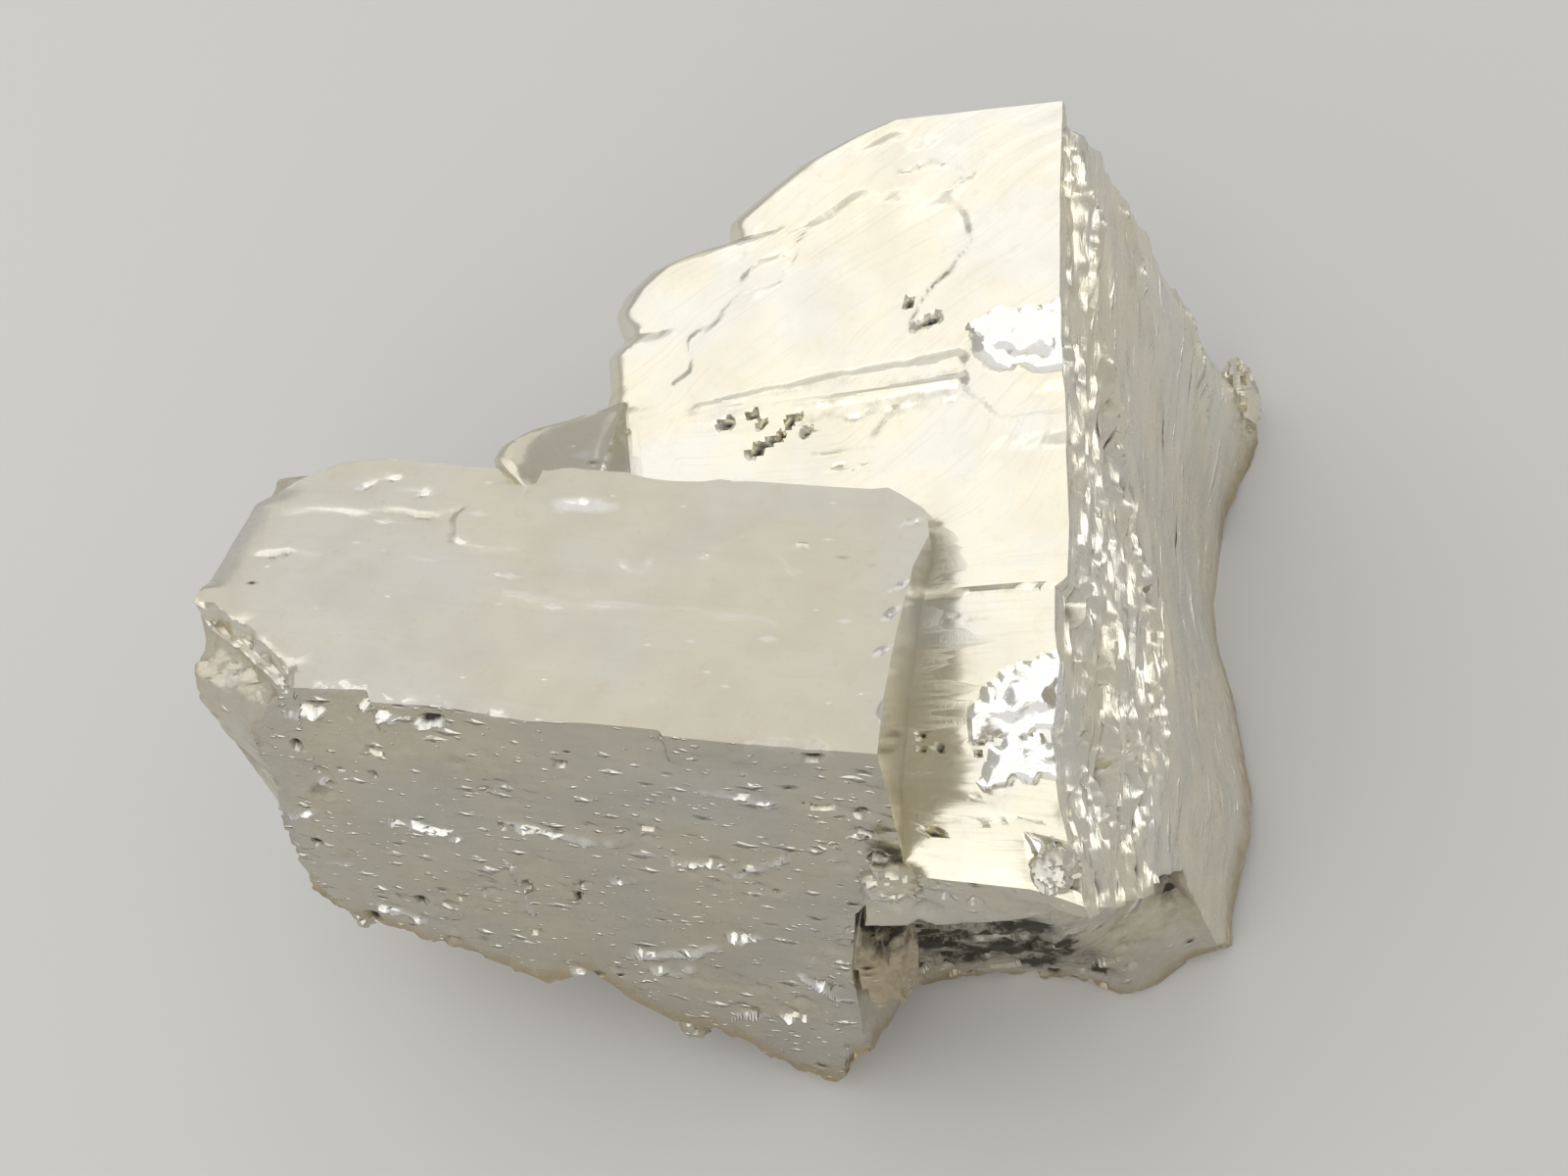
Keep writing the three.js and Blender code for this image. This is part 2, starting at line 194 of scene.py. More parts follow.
# a broken patch inside an outline: a shelly hollow, ripples that follow its rim, soft dents
def shell(p, q, outline, depth, seed):
    inner = insideBy(p + 0.4 * noise(p, q, seed), q + 0.4 * noise(p, q, seed + 1), outline)
    patch = smooth(inner, 0, 0.3)
    hollow = depth * (0.2 * patch + 0.5 * smooth(inner, 0, 3.2))
    ripples = 0.055 * np.sin(4.2 * inner + 2.2 * noise(p / 1.8, q / 1.8, seed + 2))
    dents = 0.1 * rumple(p / 2, q / 1.7, seed + 3) + 0.07 * facets(p / 2.4, q / 2, seed + 6, 1.2)
    return hollow + patch * (ripples + dents), patch


# the cube: x right, y into its depth, z up the bright face, from its front lower corner; millimetres
cube = {
    "corner": (17.64, -32.82, 38.52),
    "axes": ((0.9204, -0.0987, 0.3783), (0.3907, 0.196, -0.8994), (0.0146, 0.9756, 0.2189)),
    "edge": 56.2,
    # ground under the lower edge, and its rise along x and z
    "ground": (42.8, 0.4206, 0.2434),
    "baseOverlap": 0.1,
    "baseRough": 2.0,
    "stepHeight": 20.8,
    "cells": (126, 112, 200),
    # left outline of the bright face, by height, and the square steps behind it
    "lobes": (
        (0, -14.5), (3, -14.5), (5, -20), (8, -29), (14, -31), (32, -32), (34, -34), (36, -34.6),
        (37.9, -34.8), (39, -34.4), (41.7, -34.6), (43.1, -33.6), (45.1, -34.1), (46.5, -33.4),
        (47.8, -31.7), (48.8, -28.8), (49.4, -25.4), (50.8, -25.2), (52.4, -23), (54.3, -20), (55.4, -17),
        (56.2, -14)),
    "steps": (
        (0, -24), (3, -24), (5, -25), (8, -29), (14, -31), (31.5, -31), (32, -34), (42.6, -34.4),
        (43.1, -33.2), (47, -33.2), (47.8, -30.5), (49.3, -30.3), (49.8, -27.4), (56.2, -27.2)),
    # by height the chips of the right edge and the swell of the right face at the base; of the low face
    # the broken right part by depth, lip and rim by x; by height the depth of the right face's crest
    "edgeChips": (
        (0, 0), (3.1, -0.4), (6.7, -1.2), (11.2, -1.6), (15.7, -1), (18, -1.2), (20.8, -1.1), (21.2, -0.2),
        (25, 0), (34.9, -0.2), (38.4, -0.4), (42, -0.3), (50, -0.1), (56, 0.2)),
    "rimSwell": (
        (0, 0), (3, 0), (7, 0.6), (11, 1.8), (14, 1.7), (18, 0.8), (24, -0.2), (30, -1.7), (34, -2.1),
        (41, -1.3), (47, 0.1), (51, 1.1), (54, 0.9), (57, -0.6)),
    "lowBreak": (
        (0, 0), (1.6, -0.6), (5.8, 0.9), (9.4, 1.3), (17, 2.8), (17.6, 4), (24, 6.4), (27, 6.8),
        (29.7, 5.1), (35.5, 3.4), (43, 3.4), (50, 4)),
    "lip": ((-24, 4.4), (-14.5, 3.1), (-3.5, 1.3), (-1.5, 0.6), (0, 0)),
    "lowRim": (
        (-24, 0.3), (-21.8, 0.8), (-18.2, 1.2), (-15.2, 1.1), (-11.2, 0.8), (-8.2, 0), (-6.7, 0.2),
        (-3.2, 2.5), (0, 4)),
    "crest": ((0, 18), (13, 21), (25, 20.6), (34, 15.4), (39.5, 8.2), (51, 5.3), (56, 4)),
    # raised growths on the bright face, with their height and the widest slope of their rim
    "growths": (
        (((-29.2, 38.3), (-27.6, 39.6), (-27.9, 41.8), (-25.8, 43.6), (-23.6, 44.9), (-20.7, 45.5),
          (-19.7, 47.8), (-19.1, 49.6), (-17, 50.5), (-15.2, 51.3), (-12.8, 51.4), (-9.2, 51.3),
          (-7.7, 50.2), (-6.9, 48.7), (-6.2, 46.5), (-8, 44.7), (-9.5, 42.6), (-11, 40.5), (-12.8, 40),
          (-15.6, 38.6), (-20.6, 37.8), (-26.4, 37.3)), 0.17, 2.6),
        (((-23.7, 46), (-22.3, 47), (-20.1, 47.6), (-20.3, 45.7), (-21.8, 45.3), (-23.4, 45.1)), 0.12, 0.5),
        (((-13.5, 51.6), (-9, 52), (-6.8, 51.8), (-6.4, 53), (-9, 54.6), (-13, 55), (-16.6, 53.8)),
          0.13, 1.8),
        (((-26.6, 41.5), (-22.6, 44.2), (-19, 46.3), (-16, 49.2), (-9.6, 49.6), (-8.4, 46.4), (-12, 42),
          (-20, 39.6)), 0.08, 2.8)),
    # the striped shelf between its upper and lower lines
    "shelfTop": ((-26.9, 36.6), (-24, 36.9), (-16.9, 37.5), (-9.3, 37.7), (-7, 37.9)),
    "shelfBottom": ((-26.9, 35.3), (-23.4, 35.4), (-17.1, 34.7), (-11, 34.8), (-7, 34.9)),
    # lines as (points, depth, half width, dirt)
    "lines": (
        (((-11.2, 40.5), (-10, 42.4), (-8.9, 43.5), (-8, 44.5), (-7.1, 45.4), (-6.3, 46.3)),
          0.09, 0.13, 0.7),
        (((-11.8, 52.3), (-7.7, 52.5), (-6.6, 51.6), (-8.2, 50.5)), 0.14, 0.14, 0.4),
        (((-9.8, 20.6), (-5.9, 20.8), (-1.2, 21)), 0.2, 0.16, 0.35),
        (((-19, 34.6), (-14, 34.5), (-8, 34.6)), 0.13, 0.25, 0.4),
        (((-13.8, 32.8), (-12, 34.5)), 0.14, 0.2, 0.5), (((-18.4, 32.1), (-13.8, 32.2)), 0.1, 0.18, 0.3),
        (((-16.8, 30.9), (-13.8, 31.1)), 0.18, 0.15, 0.25),
        (((-9.3, 4.3), (-5.3, 4.4), (-1.6, 4.9)), 0.14, 0.14, 0.35),
        (((-6.6, 6.1), (-1.6, 6.2)), 0.1, 0.12, 0.2), (((-8.3, 18.7), (-3.1, 19)), 0.1, 0.12, 0.2),
        (((-28.5, 39.5), (-27.1, 41.3), (-25.2, 43.4), (-23, 44.9)), 0.06, 0.3, 0.12),
        (((-24.3, 49.4), (-24, 47.7), (-23.7, 46)), 0.07, 0.3, 0),
        (((-19.3, 53.1), (-19.1, 49.6)), 0.06, 0.3, 0)),
    # broken patches of the bright face, with their depth and seed
    "shells": (
        (((-4.5, 40.8), (-6.7, 39.9), (-6, 37.5), (-4.3, 36.4), (1, 35.7), (1, 41)), 1.1, 310),
        (((1, 16.6), (-1.2, 15.9), (-3.3, 15.3), (-5.6, 13.7), (-6.4, 12.2), (-6.6, 10.2), (-4.9, 10.1),
          (-4.1, 10.8), (-1.5, 10.9), (1, 10.8)), 1.5, 320),
        (((1, 10.7), (-3.7, 10.7), (-4.8, 9.7), (-5.5, 8.3), (-5.7, 6.6), (-4.2, 7.1), (-1.9, 7.6), (1, 8)),
          1.3, 330),
        (((-3.5, 3.4), (-2.4, 4.1), (1, 4), (1, 0.8), (-2, 1.4), (-3.1, 2.5)), 1.6, 340)),
    # bowls as x, z, two half sizes, turn, seed
    "pits": (
        (-24.7, 35.1, 0.7, 0.4, 15, 41), (-22.8, 35.4, 0.6, 0.3, 30, 42), (-22, 34.7, 0.6, 0.3, 45, 43),
        (-21.2, 33.4, 0.6, 0.35, 20, 44), (-22.1, 33.1, 0.6, 0.3, 35, 45), (-19.9, 34.6, 0.7, 0.3, 55, 46),
        (-19.2, 34.9, 0.5, 0.3, 30, 47), (-18.6, 33.8, 0.6, 0.3, 50, 48), (-22.4, 32.6, 0.8, 0.4, 10, 49),
        (-20.6, 33.6, 0.5, 0.25, 60, 50), (-9.9, 10.6, 0.5, 0.3, 20, 51), (-9.9, 9.6, 0.5, 0.3, 0, 52),
        (-8.6, 9.7, 0.5, 0.3, 25, 53), (-5.7, 9.2, 0.4, 0.25, 0, 54), (-5.6, 10.1, 0.6, 0.25, 0, 55),
        (-9.8, 40.8, 1.4, 0.5, 12, 56), (-33.2, 35.4, 1.1, 0.3, 5, 57), (-9.7, 3.5, 0.9, 0.35, 0, 58),
        (-11.1, 42.2, 0.35, 0.6, -30, 59)),
    # cavities and long bright ridges of the right face, by depth and height
    "cavities": (
        (5, 9.9, 1.6, 2.2, 12, 61), (9, 9.1, 1.2, 2, 5, 62), (8.3, 16.8, 1.3, 0.9, 0, 63),
        (13.6, 11.1, 0.8, 1.6, 0, 64), (11.5, 6.7, 1.6, 0.9, 0, 65), (8.6, 6.6, 1, 0.8, 0, 66),
        (20.2, 25.2, 0.9, 1.1, 0, 67), (3.2, 19.9, 0.7, 1, 0, 68)),
    "ridges": (
        ((5, 51.4), (6.5, 49.1), (7.2, 46.5)), ((8.3, 39.8), (10.8, 37.6), (12.4, 35.6), (14, 34)),
        ((11.2, 32.5), (13.8, 31.3), (15.4, 28.7), (17, 26.6), (18.2, 23)),
        ((15.2, 54.5), (18.8, 52.1), (20.6, 49.7), (22.8, 46.9)), ((34, 54.7), (36.6, 51), (39.8, 46.9)),
        ((8.7, 13.6), (9.3, 10.6)), ((15.8, 12.9), (16.3, 10.6), (13.8, 8.1)), ((20.7, 22.7), (21.2, 19)),
        ((3.6, 16.6), (4.1, 14.4)), ((2.6, 13.2), (1.9, 11.2)), ((3.9, 21.5), (3.9, 19.5))),
}


# coordinate across the growth lines of the bright face: nearly level at the foot, fanning up to the
# right above the step, slanting over the upper part
def faceLines(x, z):
    foot = z - 0.05 * x
    fan = z - 0.072 * np.clip(z - 23, 0, 11) * np.maximum(x + 12, -4)
    slant = 0.9 * z - 0.5 * x + 1.2 * noise(x / 8, z / 7, 69)
    across = np.where(z < cube["stepHeight"], foot, np.where(z < mix(36, 33, smooth(x, -8, -4)), fan, slant))
    return across + 0.3 * noise(x / 6, z / 4, 75)


# ground distance under a place of the bright face, plus lattice noise
def cubeDepth(x, z):
    level, byX, byZ = cube["ground"]
    rough = cube["baseRough"] * noise(x / 5, z / 6, 3) * smooth(z, 1, 9)
    return level + byX * x + byZ * z + cube["baseOverlap"] + rough


# inward relief of the bright face: rounded lobes, raised growths, striped shelf, steps that fan out
# to the right, lines, pits and shelly broken patches
def cubeFace(x, z):
    fromEdge = x - read(cube["lobes"], z)
    rounded = np.maximum(0, 1 - fromEdge / 2.3) ** 2 * smooth(z, 33, 37)
    swell = -0.5 * smooth(x, -14, -32)
    grooves = bump((z - 43.2) / 0.7) + bump((z - 49.3) / 0.7) + 0.6 * bump((z - 37.6) / 0.6)
    belowStep = 0.3 * smooth(z, 21.1, 20.5)
    lowBevel = 1.3 * np.maximum(0, 1 - z / (3.8 - 0.33 * x)) ** 1.2
    level = rounded + swell + 0.5 * grooves * smooth(fromEdge, 6, 1) + belowStep + lowBevel
    u, v = x + 0.35 * noise(x / 1.9, z / 1.9, 70), z + 0.35 * noise(x / 1.9, z / 1.9, 71)
    for outline, height, slope in cube["growths"]:
        width = 0.3 + slope * smooth(noise(x / 3.4, z / 3.4, 72), -0.5, 0.9)
        level -= height * smooth(insideBy(u, v, outline), -0.25, width)
    high, low = read(cube["shelfTop"], x), read(cube["shelfBottom"], x)
    across = (z - low) / (high - low)
    onShelf = (smooth(across, -0.25, 0.12) * smooth(across, 1.25, 0.95)
               * smooth(x, -28, -26.6) * smooth(x, -6.4, -7.4))
    stripes = 0.14 * noise(x / 13, across * 5.4, 73) + 0.06 * noise(x / 9, across * 7, 74)
    level -= onShelf * (0.24 + stripes)
    lowRight = smooth(x, -22, -15) * smooth(z, 36, 34)
    rise = faceLines(x, z)
    level += lowRight * smooth(z, 21, 22) * (0.08 * saw(rise / 1.9 + 0.8 * noise(x / 11, z / 4, 76))
                                             + 0.03 * noise(x / 9, rise / 0.8, 77))
    level += smooth(z, 22, 20) * 0.045 * noise(x / 14, (z - 0.05 * x) / 0.6, 78)
    level += smooth(x, -9, -4) * smooth(z, 30, 32) * smooth(z, 35.6, 34) * 0.4 * (x + 9) / 9
    upper = smooth(z, 36, 38)
    level += upper * (0.06 * saw(rise / 2.1) + 0.03 * noise(x / 8, rise / 0.9, 79)
                      + 0.07 * rumple(x / 6, z / 5, 80))
    dirt = 0.25 * onShelf * smooth(noise(x / 9, across * 5.4, 73), 0, -0.6)
    keep = 0.6 * onShelf
    for path, depth, half, soil in cube["lines"]:
        line = bump(farFrom(u, v, path) / half)
        keep = np.maximum(keep, line)
        line = line * (0.75 + 0.25 * noise(x / 1.1, z / 1.1, 81))
        level += depth * line
        dirt = np.maximum(dirt, soil * line)
    pits = bowls(x, z, cube["pits"], 0.5)
    level += 0.7 * smooth(pits, 0, 0.9)
    freshAndHighlight = np.zeros(np.shape(x))
    for outline, depth, seed in cube["shells"]:
        hollow, patch = shell(x, z, outline, depth, seed)
        level = level + hollow
        freshAndHighlight = np.maximum(freshAndHighlight, 0.75 * patch)
    return level, np.maximum(dirt, 0.8 * smooth(pits, 0.2, 0.8)), freshAndHighlight, keep


# outward relief of the right face: crest, rough front strip of long lozenges, striae behind it
def cubeRight(y, z):
    crest = y - read(cube["crest"], z)
    rough = smooth(crest, 3, -1)
    level = 0.5 * bump(crest / 1.3) + 0.3 * bump((crest - 5) / 1.2) - 0.3 * rough
    level += (0.1 + 0.3 * rough) * noise(y / 1.6, z / 8, 11)
    patchy = smooth(noise(y / 4, z / 8, 84), -0.5, 0.4)
    holes = studs(y / 1.2, z / 3.6, 90, 0.26)
    level += rough * (0.4 * studs(y / 1.3, z / 6.5, 85, 0.55) + 0.22 * studs(y / 0.8, z / 3.4, 87, 0.5)
                      - 0.35 * holes + 0.12 * patchy * facets(y / 1.4, z / 4, 95))
    striae = 0.07 * saw(y / 2.3 + 0.6 * noise(y / 4, z / 12, 100)) + 0.04 * noise(y / 0.7, z / 9, 101)
    level += (1 - 0.7 * rough) * (striae + 0.12 * studs(y / 1.6, z / 6, 102, 0.25)
                                  + 0.12 * noise(y / 6, z / 14, 103))
    for path in cube["ridges"]:
        level += 0.5 * bump(farFrom(y + 0.25 * noise(y, z / 2, 104), z, path) / 0.5)
    cavity = bowls(y, z, cube["cavities"], 0.3)
    level = level * smooth(y, 0, 1.6) - 1.9 * smooth(cavity, 0, 0.8)
    level += read(cube["edgeChips"], z) * np.exp(-y / 5) + read(cube["rimSwell"], z) * (y / 50) ** 1.5
    inHoles = 0.8 * rough * holes * smooth(noise(y / 5, z / 6, 105), 0, 0.5)
    return level, np.maximum(0.9 * smooth(cavity, 0.3, 0.9), inHoles)


# rise of the low face: its lip, the recess behind it, the rim at the ground and the broken right part
def cubeLow(x, y):
    toGround = cube["ground"][0] + cube["ground"][1] * x - y
    lip = read(cube["lip"], x) * np.maximum(0, 1 - y / 8)
    recess = 1.8 * smooth(y, 6.6, 8.4) * smooth(toGround, 1, 7) * smooth(x, -2, -8)
    rim = read(cube["lowRim"], x) * smooth(toGround, 7, 1)
    broken = read(cube["lowBreak"], y) * smooth(x, -7.5, -0.8) * smooth(toGround, 0.5, 8)
    rough = smooth(y, 6, 9) * smooth(x, -5, -9)
    flakes = ((0.1 + 0.3 * rough) * facets(x / 3, y / 2.2, 110)
              + 0.25 * rough * studs(x / 1.6, y / 1.8, 115, 0.35))
    pits = studs(x / 2.2, y / 1.6, 120, 0.35) * smooth(y, 1.5, 3) * smooth(x, -3, -6)
    # painted shade over the rough recess behind the lip, uneven in patches
    recessShade = rough * smooth(toGround, 1, 6) * (0.78 + 0.4 * noise(x / 2.6, y / 2, 124))
    # a groove in the right part, which the second value also darkens as painted shade
    groove = bump((x + 1.7) / 1.1) * smooth(y, 9, 14) * smooth(y, 36, 26)
    level = lip + recess + rim + broken + 0.3 * noise(x / 3, y / 4, 5) * smooth(y, 6, 9)
    level = level + flakes * smooth(y, 0, 1.5) + 0.4 * pits + 1.4 * groove
    # second value: dark pits, and painted shade over the recess and in the groove
    return level, most(pits * (0.35 + 0.55 * rough), recessShade, 0.75 * groove)


# growth steps along the back, fine lines between them, a few square pits
def cubeBack(x, y):
    steps = (0.7 * smooth(y, 9.5, 10.3) * smooth(x, -5, -6) - 1.1 * smooth(y, 23, 23.8)
             - 0.8 * smooth(y, 37, 37.6))
    lines = 0.16 * saw(y / 2.1 + 0.7 * noise(x / 8, y / 3, 125)) + 0.1 * noise(x / 11, y / 0.8, 126)
    raised = 0.35 * smooth(noise(x / 6, y / 4, 127), 0.1, 0.35)
    pits = studs(x / 2.3, y / 1.7, 128, 0.1)
    level = 0.08 * np.minimum(-x, 14) - 0.5 + steps
    level = level + (0.25 * noise(x / 9, y / 3, 8) + lines + raised - 0.5 * pits) * smooth(y, 1, 4)
    return level, 0.35 * pits * smooth(y, 3, 5)


# the left side: two growth steps, a soft swell, striae
def cubeHidden(y, z):
    lines = 0.16 * saw(y / 2.4 + 0.6 * noise(y / 3, z / 9, 130)) + 0.08 * noise(y / 0.8, z / 12, 131)
    steps = 0.8 * smooth(y, 15, 15.6) + 0.9 * smooth(y, 27.5, 28.2)
    return steps + 0.3 * noise(y / 4, z / 6, 9) + lines * smooth(y, 2, 5)


# left side at one depth: the lobes of the face, then the square steps
def cubeLeft(y, z):
    lobe = read(cube["lobes"], z)
    return mix(lobe, np.maximum(read(cube["steps"], z), lobe - 0.36 * y), smooth(y, 1.2, 4))


# a point of the box (t right, s deep, w up): the six face reliefs, each fading into the next
def cubeShape(t, s, w):
    z0 = w * cube["edge"]
    y1 = s * cubeDepth(read(cube["lobes"], z0) * (1 - t), z0)
    x0 = cubeLeft(y1, z0) * (1 - t)
    y0 = s * cubeDepth(x0, z0)
    face, faceDirt, freshAndHighlight, keep = cubeFace(x0, z0)
    right, rightDirt = cubeRight(y0, z0)
    low, lowDirtAndShade = cubeLow(x0, y0)
    back, backDirt = cubeBack(x0, y0)
    base = 0.6 * facets(x0 / 2.4, z0 / 2.4, 135) * s ** 12
    place = (x0 + right * t ** 3 + cubeHidden(y0, z0) * (1 - t) ** 3,
             y0 + face * (1 - s) ** 4 - base,
             z0 + low * (1 - w) ** 4 + back * w ** 8)
    onFace, onRight, onLow = smooth(s, 0.02, 0), smooth(t, 0.98, 1), smooth(w, 0.02, 0)
    # dirt of each face, with the low face's painted shade
    dirt = most(onFace * faceDirt, onRight * rightDirt, onLow * lowDirtAndShade, smooth(w, 0.98, 1) * backDirt)
    broken = np.maximum(smooth(s, 0.88, 1), 0.5 * onLow * smooth(y0, 7, 11))
    sides = [s == 0, (t == 1) | (t == 0), (w == 0) | (w == 1)]
    along = np.select(sides, [x0, z0, x0], z0)
    across = np.select(sides, [faceLines(x0, z0), y0 + 0.4 * noise(y0 / 3, z0 / 9, 137), y0], x0)
    return place, {"dirt": dirt, "freshAndHighlight": onFace * freshAndHighlight, "broken": broken, "along": along, "across": across,
                   "keep": onFace * keep}


